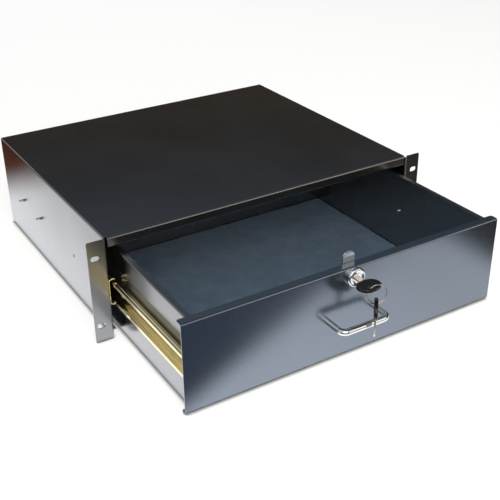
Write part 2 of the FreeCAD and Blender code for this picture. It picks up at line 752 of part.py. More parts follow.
# ---------------------------------------------------------------- slides
def from_wall(side, inset):
    """X of a place in the slide's gap, measured from the casing wall."""
    return (inner_wall - inset) * side


def make_slide_outer(name, side):
    """Outer member: a channel on the casing wall, with a ball race in each flange."""
    body = new_body(f"slide_outer_{name}")
    thick, bend, row = cell("slide_wall"), cell("slide_bend"), cell("ball_row")
    around = bend + thick
    inside = row + cell("race_edge")
    outside = inside + thick
    deep = from_wall(side, cell("outer_deep"))
    back, web = from_wall(side, 0), from_wall(side, thick)
    ball = from_wall(side, cell("ball_inset"))

    def channel(sketch):
        draw_outline(sketch, [
            (deep, slide_level - outside), (back, slide_level - outside, around),
            (back, slide_level + outside, around), (deep, slide_level + outside),
            (deep, slide_level + inside), (web, slide_level + inside, bend),
            (web, slide_level - inside, bend), (deep, slide_level - inside)])

    prism(body, "XZ", cell("slide_front"), cell("slide_long"), channel)

    def race_backs(sketch):
        for level in (-1, 1):
            draw_arc_segment(sketch, ball, slide_level + row * level, race_radius + thick,
                             slide_level + outside * level)

    prism(body, "XZ", cell("slide_front"), cell("slide_long"), race_backs)

    def races(sketch):
        for level in (-1, 1):
            draw_circle(sketch, ball, slide_level + row * level, race_radius)

    prism(body, "XZ", cell("slide_front") - 1, cell("slide_long") + 2, races, cut=True)

    def holes(sketch):
        for place_back in OUTER_SCREWS:
            draw_circle(sketch, place_back, slide_level, cell("screw_hole"))

    start = back if side < 0 else web
    prism(body, "YZ", start - 0.2, thick + 0.4, holes, cut=True)
    return body


def make_slide_inner(name, side):
    """Inner member: a narrower channel on the tray wall, open towards the outer member, with the
    edges of its mouth turned in."""
    body = new_body(f"slide_inner_{name}")
    thick, bend, row = cell("slide_wall"), cell("slide_bend"), cell("ball_row")
    around = bend + thick
    outside = row - cell("race_edge")
    inside = outside - thick
    space = cell("slide_space")
    mouth = space - cell("inner_deep")
    tip, lip_back = from_wall(side, mouth), from_wall(side, mouth + thick)
    lip_end = outside - cell("inner_lip")
    back, web = from_wall(side, space), from_wall(side, space - thick)
    ball = from_wall(side, cell("ball_inset"))

    def channel(sketch):
        draw_outline(sketch, [
            (tip, slide_level - outside), (back, slide_level - outside, around),
            (back, slide_level + outside, around), (tip, slide_level + outside),
            (tip, slide_level + lip_end), (lip_back, slide_level + lip_end),
            (lip_back, slide_level + inside), (web, slide_level + inside, bend),
            (web, slide_level - inside, bend), (lip_back, slide_level - inside),
            (lip_back, slide_level - lip_end), (tip, slide_level - lip_end)])

    prism(body, "XZ", inner_front, cell("slide_long"), channel)

    def race_backs(sketch):
        for level in (-1, 1):
            draw_arc_segment(sketch, ball, slide_level + row * level, race_radius + thick,
                             slide_level + inside * level)

    prism(body, "XZ", inner_front, cell("slide_long"), race_backs)

    def races(sketch):
        for level in (-1, 1):
            draw_circle(sketch, ball, slide_level + row * level, race_radius)

    prism(body, "XZ", inner_front - 1, cell("slide_long") + 2, races, cut=True)

    def holes(sketch):
        for place_back in INNER_SCREWS:
            draw_circle(sketch, place_back, slide_level, cell("screw_hole"))
        draw_circle(sketch, panel_face + cell("inner_hole_place"), slide_level, cell("screw_hole"))
        draw_slot(sketch, panel_face + cell("inner_slot_place"), slide_level,
                  cell("inner_slot_long"), cell("screw_hole") * 2)

    start = web if side < 0 else back
    prism(body, "YZ", start - 0.2, thick + 0.4, holes, cut=True)
    return body


def ball_places():
    """Places of the balls of one row, along the slide."""
    number = count("cage_balls")
    step = (cell("cage_long") - cell("ball_radius") * 6) / (number - 1)
    return [cage_middle + step * (index - (number - 1) / 2) for index in range(number)]


def make_ball_cage(name, side):
    """A thin channel between the two members, with a window for each ball."""
    body = new_body(f"ball_cage_{name}")
    thick, row = cell("cage_wall"), cell("ball_row")
    near = from_wall(side, cell("cage_inset"))
    web = from_wall(side, cell("cage_inset") + thick)
    far = from_wall(side, cell("cage_inset") + cell("cage_deep"))
    outside, inside = row + thick / 2, row - thick / 2
    start = cage_middle - cell("cage_long") / 2

    def channel(sketch):
        draw_outline(sketch, [
            (far, slide_level - outside), (near, slide_level - outside, thick * 1.5),
            (near, slide_level + outside, thick * 1.5), (far, slide_level + outside),
            (far, slide_level + inside), (web, slide_level + inside, thick / 2),
            (web, slide_level - inside, thick / 2), (far, slide_level - inside)])

    prism(body, "XZ", start, cell("cage_long"), channel)

    def windows(sketch):
        for place_back in ball_places():
            draw_circle(sketch, from_wall(side, cell("ball_inset")), place_back, race_radius)

    prism(body, "XY", slide_level - outside - 1, outside * 2 + 2, windows, cut=True)

    def middle(sketch):
        reach = cell("cage_long") / 4
        for half in (-1, 1):
            draw_slot(sketch, cage_middle + reach * half, slide_level,
                      reach * 1.5, cell("cage_window") * 2)

    first = near if side < 0 else web
    prism(body, "YZ", first - 0.2, thick + 0.4, middle, cut=True)
    return body


def make_balls(name, side):
    balls = []
    for index, place_back in enumerate(ball_places()):
        for level in (-1, 1):
            point = (from_wall(side, cell("ball_inset")), place_back,
                     slide_level + cell("ball_row") * level)
            balls.append(primitive("Sphere", f"ball_{name}_{index}_{level + 1}", point,
                                   Radius=cell("ball_radius")))
    return combine(f"slide_balls_{name}", balls, "Compound")


def make_casing_screws(name, side):
    """Flat-headed screws from inside the outer member, out through the casing wall."""
    screws = []
    outward = X_AXIS * side
    seat = cell("slide_wall")
    for index, place_back in enumerate(OUTER_SCREWS):
        head = cylinder(f"casing_screw_head_{name}_{index}",
                        (from_wall(side, seat + cell("outer_head_tall")), place_back, slide_level),
                        outward, cell("screw_head"), cell("outer_head_tall"))
        thread = cylinder(f"casing_screw_thread_{name}_{index}",
                          (from_wall(side, seat), place_back, slide_level), outward,
                          cell("screw_radius"), seat + wall + cell("outer_screw_proud") - 0.5)
        tip = primitive("Cone", f"casing_screw_tip_{name}_{index}",
                        (from_wall(side, -wall - cell("outer_screw_proud") + 0.5), place_back, slide_level),
                        outward, Radius1=cell("screw_radius"), Radius2=cell("screw_radius") - 0.5,
                        Height=0.5)
        screws.append(combine(f"casing_screw_{name}_{index}", [head, thread, tip]))
    return combine(f"casing_screws_{name}", screws, "Compound")


def make_tray_screws(name, side):
    """Pan-headed screws from inside the inner member, in through the tray wall."""
    screws = []
    inward = X_AXIS * -side
    space, thick = cell("slide_space"), cell("slide_wall")
    for index, place_back in enumerate(INNER_SCREWS):
        seat = space - thick
        head = primitive("Cone", f"tray_screw_head_{name}_{index}",
                         (from_wall(side, seat - cell("inner_head_tall")), place_back, slide_level),
                         inward, Radius1=cell("screw_head") * 0.75, Radius2=cell("screw_head"),
                         Height=cell("inner_head_tall"))
        thread = cylinder(f"tray_screw_thread_{name}_{index}",
                          (from_wall(side, seat), place_back, slide_level), inward, cell("screw_radius"),
                          thick + cell("tray_wall") + cell("inner_screw_proud"))
        screws.append(combine(f"tray_screw_{name}_{index}", [head, thread]))
    return combine(f"tray_screws_{name}", screws, "Compound")


# ---------------------------------------------------------------- lock
def make_lock_body():
    """Bezel and threaded barrel, turned in one piece."""
    body = new_body("lock_body")
    sketch = sketch_on(body, "YZ", 0)
    head, barrel = cell("lock_head_radius"), cell("lock_barrel_radius")
    bore = cell("plug_radius") + cell("plug_clear")
    draw_outline(sketch, [
        (lock_face, bore), (lock_face, head, cell("lock_head_round")), (panel_face, head),
        (panel_face, barrel), (barrel_end, barrel), (barrel_end, bore)])
    turned = body.newObject("PartDesign::Revolution", "lock_body_revolution")
    turned.Profile = sketch
    turned.ReferenceAxis = (sketch, ["H_Axis"])
    turned.Angle = 360
    doc.recompute()
    bind(body, "Placement.Base.z", lock_level)
    return body


def make_lock_nut():
    """Six-sided ring nut behind the drawer front."""
    nut = doc.addObject("Part::Prism", "lock_nut_blank")
    nut.Polygon = 6
    bind(nut, "Circumradius", cell("nut_across") / 2 / math.cos(math.pi / 6))
    bind(nut, "Height", cell("nut_thick"))
    place(nut, (0, panel_back, lock_level), Y_AXIS)
    bore = cylinder("lock_nut_bore", (0, panel_back - 1, lock_level), Y_AXIS,
                    cell("lock_barrel_radius") + 0.05, cell("nut_thick") + 2)
    return subtract("lock_nut", nut, bore)


def make_lock_plug():
    """Turning core with its keyway, and a square tail for the cam."""
    body = new_body("lock_plug")

    def core(sketch):
        draw_circle(sketch, 0, lock_level, cell("plug_radius"))

    prism(body, "XZ", plug_face, barrel_end - plug_face, core)
    half = cell("plug_tail") / 2

    def tail(sketch):
        draw_outline(sketch, [(-half, lock_level - half), (half, lock_level - half),
                              (half, lock_level + half), (-half, lock_level + half)])

    prism(body, "XZ", barrel_end, cam_back - barrel_end, tail)

    def keyway(sketch):
        across = cell("key_wide") / 2 + cell("keyway_clear")
        up = cell("key_thick") / 2 + cell("keyway_clear")
        draw_outline(sketch, [(-across, lock_level - up), (across, lock_level - up),
                              (across, lock_level + up), (-across, lock_level + up)])

    prism(body, "XZ", plug_face - 1, cell("key_deep") + cell("keyway_clear") + 1, keyway, cut=True)

    def screw_bore(sketch):
        draw_circle(sketch, 0, lock_level, cell("cam_screw_radius") + 0.05)

    bore_deep = cell("cam_screw_deep") + 0.1
    prism(body, "XZ", cam_back - bore_deep, bore_deep + 1, screw_bore, cut=True)
    return body


def make_lock_cam():
    """Flat cam on the plug's tail; it stands up behind the casing's lip to lock the drawer."""
    body = new_body("lock_cam")
    half = cell("cam_width") / 2
    hole = cell("plug_tail") / 2 + cell("tail_clear")
    heel, tip = lock_level - cell("cam_heel"), lock_level + cell("cam_reach")

    def plate(sketch):
        draw_outline(sketch, [(-half, heel, half / 2), (half, heel, half / 2),
                              (half, tip, half * 0.98), (-half, tip, half * 0.98)])
        draw_outline(sketch, [(-hole, lock_level - hole), (hole, lock_level - hole),
                              (hole, lock_level + hole), (-hole, lock_level + hole)])

    prism(body, "XZ", cam_front, cell("cam_thick"), plate)
    return body


def make_cam_washer():
    disc = cylinder("cam_washer_disc", (0, cam_back, lock_level), Y_AXIS,
                    cell("washer_radius"), cell("washer_thick"))
    bore = cylinder("cam_washer_bore", (0, cam_back - 1, lock_level), Y_AXIS,
                    cell("cam_screw_radius") + 0.15, cell("washer_thick") + 2)
    return subtract("cam_washer", disc, bore)


def make_cam_screw():
    seat = cam_back + cell("washer_thick")
    thread_long = cell("cam_screw_deep") + cell("washer_thick")
    thread = cylinder("cam_screw_thread", (0, seat - thread_long, lock_level), Y_AXIS,
                      cell("cam_screw_radius"), thread_long)
    head = primitive("Cone", "cam_screw_cap", (0, seat, lock_level), Y_AXIS,
                     Radius1=cell("cam_screw_head"), Radius2=cell("cam_screw_head") * 0.8,
                     Height=cell("cam_screw_tall"))
    return combine("cam_screw", [thread, head])


# ---------------------------------------------------------------- keys
# Both keys are drawn lying flat about the middle of the head, blade towards +Y.
BLADE_CUTS = [(0.92, 0.05), (0.87, 0.4), (0.82, 0.4), (0.76, 0.2), (0.70, 0.46),
              (0.64, 0.46), (0.58, 0.1), (0.53, 0.32), (0.47, 0.32), (0.42, 0.0)]


def key_blade(name):
    """Flat blade with one straight edge and one cut edge, held in the head by its root."""
    body = new_body(name)
    half = cell("key_wide") / 2
    root = cell("keyhead_half_long") - cell("key_root")
    run = cell("key_root") + cell("key_neck") + cell("key_deep")
    tip = root + run
    corners = [(-half, root), (-half, tip - half), (-half / 3, tip), (half / 3, tip)]
    corners += [(half * (1 - depth), root + run * share) for share, depth in BLADE_CUTS]
    corners.append((half, root))
    prism(body, "XY", -cell("key_thick") / 2, cell("key_thick"),
          lambda sketch: draw_outline(sketch, corners))
    return body


def key_head(name):
    """Oval moulded head with a slot for the ring and a socket for the blade."""
    oval = doc.addObject("Part::Ellipse", f"{name}_oval")
    bind(oval, "MajorRadius", cell("keyhead_half_wide"))
    bind(oval, "MinorRadius", cell("keyhead_half_long"))
    bind(oval, "Placement.Base.z", -cell("keyhead_thick") / 2)
    block = doc.addObject("Part::Extrusion", f"{name}_block")
    block.Base = oval
    block.DirMode = "Custom"
    block.Dir = Z_AXIS
    bind(block, "LengthFwd", cell("keyhead_thick"))
    block.Solid = True
    doc.recompute()
    rounded = doc.addObject("Part::Fillet", f"{name}_rounded")
    rounded.Base = block
    radius = sheet.get("keyhead_round")
    rounded.Edges = [(index + 1, radius, radius) for index, edge in enumerate(block.Shape.Edges)
                     if edge.BoundBox.ZLength < 1e-6]

    slot_place = cell("ring_slot_back") - cell("keyhead_half_long")
    slot_wide = cell("ring_slot_wide")
    reach = (cell("ring_slot_long") - slot_wide) / 2
    cutters = [box(f"{name}_slot", (-reach, slot_place - slot_wide / 2, -cell("keyhead_thick")),
                   reach * 2, slot_wide, cell("keyhead_thick") * 2)]
    for side in (-1, 1):
        cutters.append(cylinder(f"{name}_slot_end_{side + 1}",
                                (reach * side, slot_place, -cell("keyhead_thick")), Z_AXIS,
                                slot_wide / 2, cell("keyhead_thick") * 2))
    cutters.append(box(f"{name}_socket",
                       (-cell("key_wide") / 2, cell("keyhead_half_long") - cell("key_root"),
                        -cell("key_thick") / 2),
                       cell("key_wide"), cell("key_root") + 1, cell("key_thick")))
    return subtract(name, rounded, combine(f"{name}_cutters", cutters))


def put_in_lock(item):
    """Lay a part of the key flat in the lock."""
    return place(item, (0, keyhead_middle, lock_level))


def hang_on_ring(item):
    """Hang a part of the spare key from the bottom of the ring, blade down."""
    side, front, level = ring_middle
    slot_level = level - cell("ring_radius") + cell("ring_wire") + cell("spare_clear") \
        - cell("ring_slot_wide") / 2
    head_level = slot_level + cell("ring_slot_back") - cell("keyhead_half_long")
    place(item, (side, front, head_level))
    hang = FreeCAD.Rotation(X_AXIS, -90)
    turn = FreeCAD.Rotation(Z_AXIS, 90 - sheet.get("spare_turn"))
    item.Placement.Rotation = turn * hang
    return item


def make_key_ring():
    """Closed wire ring through the slots of both key heads."""
    ring = doc.addObject("Part::Torus", "key_ring")
    bind(ring, "Radius1", cell("ring_radius"))
    bind(ring, "Radius2", cell("ring_wire"))
    normal = FreeCAD.Rotation(Z_AXIS, -sheet.get("ring_turn")).multVec(Y_AXIS)
    return place(ring, ring_middle, normal)


# ---------------------------------------------------------------- handle
def make_handle():
    """Round rod bent to a D, tapped in both ends."""
    body = new_body("handle")
    half, bend = cell("handle_pitch") / 2, cell("handle_bend")
    bar = panel_face - cell("handle_reach")
    spine = sketch_on(body, "XY", handle_level)
    draw_outline(spine, [(-half, panel_face), (-half, bar, bend), (half, bar, bend), (half, panel_face)],
                 closed=False)
    section = sketch_on(body, "XZ", panel_face)
    draw_circle(section, -half, handle_level, cell("handle_radius"))
    pipe = body.newObject("PartDesign::AdditivePipe", "handle_pipe")
    pipe.Profile = section
    pipe.Spine = spine
    doc.recompute()

    def tapped_holes(sketch):
        for side in (-1, 1):
            draw_circle(sketch, side * half, handle_level, cell("handle_screw_hole"))

    deep = cell("handle_screw_deep") + 1
    prism(body, "XZ", panel_face - deep, deep, tapped_holes, cut=True)
    return body


def make_handle_screws():
    screws = []
    for name, side in SIDES.items():
        across = side * cell("handle_pitch") / 2
        thread = cylinder(f"handle_screw_thread_{name}",
                          (across, panel_face - cell("handle_screw_deep"), handle_level), Y_AXIS,
                          cell("handle_screw_radius"), cell("handle_screw_deep") + cell("panel_wall"))
        head = primitive("Cone", f"handle_screw_head_{name}", (across, panel_back, handle_level), Y_AXIS,
                         Radius1=cell("handle_head_radius"), Radius2=cell("handle_head_radius") * 0.75,
                         Height=cell("handle_head_tall"))
        screws.append(combine(f"handle_screw_{name}", [thread, head]))
    return combine("handle_screws", screws, "Compound")


# ---------------------------------------------------------------- assembly
pieces = {
    "casing_shell": make_casing_shell(),
    "rear_panel": make_rear_panel(),
    "rear_rivets": make_rear_rivets(),
    "front_panel": make_front_panel(),
    "drawer_tray": make_drawer_tray(),
    "floor_mat": make_floor_mat(),
    "lock_body": make_lock_body(),
    "lock_nut": make_lock_nut(),
    "lock_plug": make_lock_plug(),
    "lock_cam": make_lock_cam(),
    "cam_washer": make_cam_washer(),
    "cam_screw": make_cam_screw(),
    "key_blade": put_in_lock(key_blade("key_blade")),
    "key_head": put_in_lock(key_head("key_head")),
    "key_ring": make_key_ring(),
    "spare_key_blade": hang_on_ring(key_blade("spare_key_blade")),
    "spare_key_head": hang_on_ring(key_head("spare_key_head")),
    "handle": make_handle(),
    "handle_screws": make_handle_screws(),
}
for hand, sign in SIDES.items():
    pieces[f"slide_outer_{hand}"] = make_slide_outer(hand, sign)
    pieces[f"slide_inner_{hand}"] = make_slide_inner(hand, sign)
    pieces[f"ball_cage_{hand}"] = make_ball_cage(hand, sign)
    pieces[f"slide_balls_{hand}"] = make_balls(hand, sign)
    pieces[f"casing_screws_{hand}"] = make_casing_screws(hand, sign)
    pieces[f"tray_screws_{hand}"] = make_tray_screws(hand, sign)
for node, piece in pieces.items():
    piece.Label = node
doc.recompute()

for item in doc.Objects:
    if any(word in item.State for word in ("Invalid", "Error")):
        raise RuntimeError(f"{item.Label} failed to recompute")
for node, piece in pieces.items():
    if piece.Shape.isNull() or not piece.Shape.isValid() or not piece.Shape.Solids:
        raise RuntimeError(f"{node} has no sound shape")

os.makedirs("parts", exist_ok=True)
for node, piece in pieces.items():
    piece.Shape.exportStep(f"parts/{node}.step")
print(f"{len(pieces)} parts written")
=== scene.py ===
"""A sliding drawer for a server rack: a folded steel casing three units high, a drawer on two
ball slides, and a cam lock with its two keys on a split ring.

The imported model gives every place. What this script adds is the finish of each piece, and the
shapes that are finer than the model's: the rod handle, the lock's bezel and threads, the key
heads, the split ring and the threaded screws."""

import math

import bmesh
import bpy
import numpy as np
from mathutils import Matrix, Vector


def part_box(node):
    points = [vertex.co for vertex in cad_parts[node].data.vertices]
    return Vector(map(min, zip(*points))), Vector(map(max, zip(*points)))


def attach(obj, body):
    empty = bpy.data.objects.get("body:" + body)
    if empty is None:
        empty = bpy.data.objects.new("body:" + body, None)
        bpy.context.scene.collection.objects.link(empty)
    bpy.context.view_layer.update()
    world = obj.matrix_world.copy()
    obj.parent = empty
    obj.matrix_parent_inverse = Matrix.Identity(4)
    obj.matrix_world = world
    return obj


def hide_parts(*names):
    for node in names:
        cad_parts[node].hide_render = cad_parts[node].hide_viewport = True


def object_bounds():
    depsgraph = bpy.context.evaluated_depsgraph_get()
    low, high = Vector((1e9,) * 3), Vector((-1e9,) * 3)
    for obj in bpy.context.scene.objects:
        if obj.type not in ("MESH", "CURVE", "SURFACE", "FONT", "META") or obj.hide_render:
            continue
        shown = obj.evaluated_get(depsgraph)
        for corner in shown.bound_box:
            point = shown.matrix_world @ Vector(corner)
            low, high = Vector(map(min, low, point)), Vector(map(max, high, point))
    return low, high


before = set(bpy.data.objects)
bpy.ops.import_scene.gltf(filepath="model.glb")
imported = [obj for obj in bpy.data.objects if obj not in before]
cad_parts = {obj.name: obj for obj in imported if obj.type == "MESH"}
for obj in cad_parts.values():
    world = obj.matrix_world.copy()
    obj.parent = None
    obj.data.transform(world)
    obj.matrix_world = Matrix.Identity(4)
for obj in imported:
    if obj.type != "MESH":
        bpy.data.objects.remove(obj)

bl_info = {
    "name": "Sliding rack drawer",
    "version": (1, 0, 0),
    "blender": (4, 5, 0),
    "location": "3D View > Sidebar > Rack drawer",
    "description": "Finishes and fine pieces of a lockable rack drawer",
    "category": "Add Mesh",
}

CAD_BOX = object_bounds()


# ---------------------------------------------------------------- colours

def linear(code, alpha=None):
    """An sRGB colour written as six hex digits, as linear light: below 0.04045 the curve is a
    straight line over 12.92, above it the power 2.4 of (c + 0.055) / 1.055."""
    coded = [int(code[at:at + 2], 16) / 255 for at in (1, 3, 5)]
    light = [c / 12.92 if c <= 0.04045 else ((c + 0.055) / 1.055) ** 2.4 for c in coded]
    return tuple(light) if alpha is None else (*light, alpha)


def colour(name, description, code):
    """A colour that the user can change, from its sRGB hex code."""
    return bpy.props.FloatVectorProperty(
        name=name, description=description, default=linear(code), subtype="COLOR", size=3,
        min=0, max=1)


def length(name, description, metres):
    """A length that the user can change, in metres."""
    return bpy.props.FloatProperty(
        name=name, description=description, default=metres, min=0, unit="LENGTH",
        subtype="DISTANCE", precision=5)


def angle(name, description, degrees):
    """An angle that the user can change."""
    return bpy.props.FloatProperty(
        name=name, description=description, default=math.radians(degrees), unit="ROTATION",
        subtype="ANGLE")


class DrawerColours(bpy.types.PropertyGroup):
    casing_coat: colour("Casing coat", "Black powder coat of the casing", "#0b0a09")
    # the drawer coat's blue cast is a painted reflection of a bluish room; the real coat is the
    # casing's black
    drawer_coat_and_painted_reflection: colour("Drawer coat", "Black powder coat of the drawer, with a painted blue reflection", "#12161b")
    mat: colour("Mat", "Anti-slip mat on the drawer floor", "#576b7e")
    mat_dark: colour("Mat, dark", "The mat's darker grain", "#485c70")
    zinc_gold: colour("Yellow zinc", "Yellow passivated zinc of the slides", "#f6eac2")
    zinc_green: colour("Yellow zinc, green", "Where the yellow film turns to green", "#e2e2c0")
    zinc_rose: colour("Yellow zinc, rose", "Where the yellow film turns to rose", "#f3dfcd")
    chrome: colour("Chrome", "Chrome plate of the lock and the handle", "#eceef0")
    zinc: colour("Bright zinc", "Clear passivated zinc of cam, washer and screws", "#cdd3da")
    nickel: colour("Nickel", "Nickel plate of the key blades and the ring", "#e8ddd2")
    steel: colour("Ball steel", "Polished steel of the slide balls", "#dedfe1")
    plastic: colour("Key plastic", "Moulded key heads", "#0d0b0a")


class DrawerSizes(bpy.types.PropertyGroup):
    orange_peel: length("Orange peel", "Width of the ripples in the powder coat", 0.0024)
    mat_grain: length("Mat grain", "Width of the mat's grain", 0.0016)
    zinc_cloud: length("Zinc cloud", "Width of the coloured clouds in the yellow zinc", 0.022)
    bezel_round: length("Bezel round", "Edge radius of the lock's bezel", 0.0022)
    bezel_dish: length("Bezel dish", "Depth of the bezel's face towards the plug", 0.0006)
    lock_thread: length("Lock thread", "Pitch of the lock barrel's thread", 0.001)
    cam_hole: length("Cam hole", "Square hole in the cam for the plug's tail", 0.0072)
    handle_bend: length("Handle bend", "Bend radius at the middle of the handle's rod", 0.008)
    handle_rod: length("Handle rod", "Diameter of the handle's rod", 0.008)
    head_rim: length("Key head rim", "Width of the raised rim round the key heads", 0.0019)
    head_field: length("Key head field", "Depth of the key heads' middle below their rim", 0.0004)
    slot_long: length("Ring slot", "Length of the ring slot in the key heads", 0.011)
    slot_wide: length("Ring slot width", "Width of the ring slot in the key heads", 0.0046)
    slot_back: length("Ring slot place", "Ring slot's middle from the head's outer edge", 0.0056)
    ring_wire: length("Ring wire", "Width of the split ring's wire across its loop", 0.00092)
    ring_thin: length("Ring wire thickness", "Thickness of each turn of the ring's wire", 0.00068)
    ring_turn: angle("Ring turn", "The key ring turned about the upright", 16.0)
    spare_turn: angle("Spare key turn", "The spare key turned about the upright", 39.0)
    screw_thread: length("Screw thread", "Pitch of the slide screws", 0.0007)
    screw_radius: length("Screw radius", "Outer radius of the slide screws' thread", 0.00195)


# ---------------------------------------------------------------- shader nodes

def set_inputs(tree, node, inputs):
    """Fills a node's inputs: a socket is linked and anything else becomes the input's value."""
    for name, value in inputs.items():
        if isinstance(value, bpy.types.NodeSocket):
            tree.links.new(value, node.inputs[name])
        else:
            node.inputs[name].default_value = value


def add_node(tree, kind, inputs=None, **settings):
    """Adds one shader node, sets its own settings, then fills its inputs."""
    node = tree.nodes.new(kind)
    for name, value in settings.items():
        setattr(node, name, value)
    set_inputs(tree, node, inputs or {})
    return node


def set_stops(node, *stops):
    """Gives a colour ramp its stops, lowest first, each a place and a colour with its alpha."""
    elements = node.color_ramp.elements
    elements[0].position, elements[0].color = stops[0]
    elements[1].position, elements[1].color = stops[-1]
    for spot, shade in stops[1:-1]:
        elements.new(spot).color = shade


def by_ray(tree, eye, gloss, rest):
    """Shows one shader to the eye, one to reflections and one to all other light."""
    path = add_node(tree, "ShaderNodeLightPath")
    unseen = add_node(tree, "ShaderNodeMixShader", {
        0: path.outputs["Is Glossy Ray"], 1: rest, 2: gloss})
    return add_node(tree, "ShaderNodeMixShader", {
        0: path.outputs["Is Camera Ray"], 1: unseen.outputs["Shader"], 2: eye}).outputs["Shader"]


def empty_tree(owner):
    """The node tree of a material or a world, without the nodes that it came with."""
    owner.use_nodes = True
    owner.node_tree.nodes.clear()
    return owner.node_tree


def new_material(name):
    """An empty node material with its output, its principled shader and its object coordinates."""
    material = bpy.data.materials.new(name)
    tree = empty_tree(material)
    shader = add_node(tree, "ShaderNodeBsdfPrincipled")
    add_node(tree, "ShaderNodeOutputMaterial", {"Surface": shader.outputs["BSDF"]})
    place = add_node(tree, "ShaderNodeTexCoord").outputs["Object"]
    return material, tree, shader, place


# ---------------------------------------------------------------- materials

def powder_coat(name, base, tint, roughness, peel):
    """Polyester powder coat, sprayed and baked, black and glossy. It flows out to shallow orange
    peel, so reflections stay clear but ripple, and a few dust specks stay in the film. The film
    over the bright metal throws back more than bare plastic does, so its index is raised."""
    material, tree, shader, place = new_material(name)
    # ripples 2 to 3 mm wide, a few hundredths of a millimetre deep
    ripples = add_node(tree, "ShaderNodeTexNoise", {
        "Vector": place, "Scale": 1 / peel, "Detail": 2.0, "Roughness": 0.45})
    ripple = add_node(tree, "ShaderNodeBump", {
        "Height": ripples.outputs["Fac"], "Strength": 0.10, "Distance": 0.00004})
    # the coat's thickness drifts eleven times in a metre, which dulls it here and there
    drift = add_node(tree, "ShaderNodeTexNoise", {
        "Vector": place, "Scale": 11.0, "Detail": 3.0, "Roughness": 0.5})
    dulled = add_node(tree, "ShaderNodeMapRange", {
        "Value": drift.outputs["Fac"], "From Min": 0.3, "From Max": 0.7,
        "To Min": roughness - 0.03, "To Max": roughness + 0.04})
    # dust specks are under half a millimetre, drawn at 1 mm so that they show
    specks_apart = 0.012
    specks = add_node(tree, "ShaderNodeTexVoronoi", {"Vector": place, "Scale": 1 / specks_apart})
    speck = add_node(tree, "ShaderNodeMapRange", {
        "Value": specks.outputs["Distance"], "From Min": 0.03, "From Max": 0.07,
        "To Min": 1.0, "To Max": 0.0})
    lighter = tuple(min(1.0, 2.6 * c + 0.004) for c in base)
    paint = add_node(tree, "ShaderNodeMix", {
        "Factor": speck.outputs["Result"], "A": (*base, 1.0), "B": (*lighter, 1.0)},
        data_type="RGBA")
    set_inputs(tree, shader, {
        "Base Color": paint.outputs["Result"], "Roughness": dulled.outputs["Result"],
        "Normal": ripple.outputs["Normal"], "IOR": 2.0, "Specular IOR Level": 1.0,
        "Specular Tint": (*tint, 1.0), "Coat Weight": 1.0, "Coat IOR": 1.7,
        "Coat Roughness": 0.17})
    return material


def yellow_zinc(colours, sizes):
    """Zinc plate on rolled steel with a yellow chromate film. The film's thickness drifts, which
    gives clouds of gold, green and rose, and the rolling leaves faint lines along the slide."""
    material, tree, shader, place = new_material("yellow zinc, passivated")
    clouds = add_node(tree, "ShaderNodeTexNoise", {
        "Vector": place, "Scale": 1 / sizes.zinc_cloud, "Detail": 3.0, "Roughness": 0.55,
        "Distortion": 0.6})
    film = add_node(tree, "ShaderNodeValToRGB", {"Fac": clouds.outputs["Fac"]})
    green, gold, rose = ((*shade, 1.0) for shade in (
        colours.zinc_green, colours.zinc_gold, colours.zinc_rose))
    set_stops(film, (0.30, green), (0.42, gold), (0.58, gold), (0.70, rose))
    # rolling lines every 0.3 mm across the strip are too fine to show, so they are 0.8 mm apart
    along = add_node(tree, "ShaderNodeMapping", {
        "Vector": place, "Scale": (1200.0, 12.0, 1200.0)})
    lines = add_node(tree, "ShaderNodeTexNoise", {
        "Vector": along.outputs["Vector"], "Scale": 1.0, "Detail": 2.0})
    rough = add_node(tree, "ShaderNodeMapRange", {
        "Value": lines.outputs["Fac"], "From Min": 0.3, "From Max": 0.7,
        "To Min": 0.12, "To Max": 0.22})
    bump = add_node(tree, "ShaderNodeBump", {
        "Height": lines.outputs["Fac"], "Strength": 0.12, "Distance": 0.00003})
    set_inputs(tree, shader, {
        "Base Color": film.outputs["Color"], "Roughness": rough.outputs["Result"],
        "Normal": bump.outputs["Normal"], "Metallic": 1.0})
    return material


def plated_metal(name, base, shade, roughness, grain, depth):
    """A plated metal: over the plate's grain its colour drifts between its base and a share of
    it, its polish between two values of roughness, and its surface is dented by depth."""
    material, tree, shader, place = new_material(name)
    noise = add_node(tree, "ShaderNodeTexNoise", {
        "Vector": place, "Scale": 1 / grain, "Detail": 3.0, "Roughness": 0.6})
    tone = add_node(tree, "ShaderNodeMix", {
        "Factor": noise.outputs["Fac"], "A": (*(shade * c for c in base), 1.0),
        "B": (*base, 1.0)}, data_type="RGBA")
    rough = add_node(tree, "ShaderNodeMapRange", {
        "Value": noise.outputs["Fac"], "From Min": 0.3, "From Max": 0.7,
        "To Min": roughness[0], "To Max": roughness[1]})
    bump = add_node(tree, "ShaderNodeBump", {
        "Height": noise.outputs["Fac"], "Strength": 0.1, "Distance": depth})
    set_inputs(tree, shader, {
        "Base Color": tone.outputs["Result"], "Roughness": rough.outputs["Result"],
        "Normal": bump.outputs["Normal"], "Metallic": 1.0})
    return material


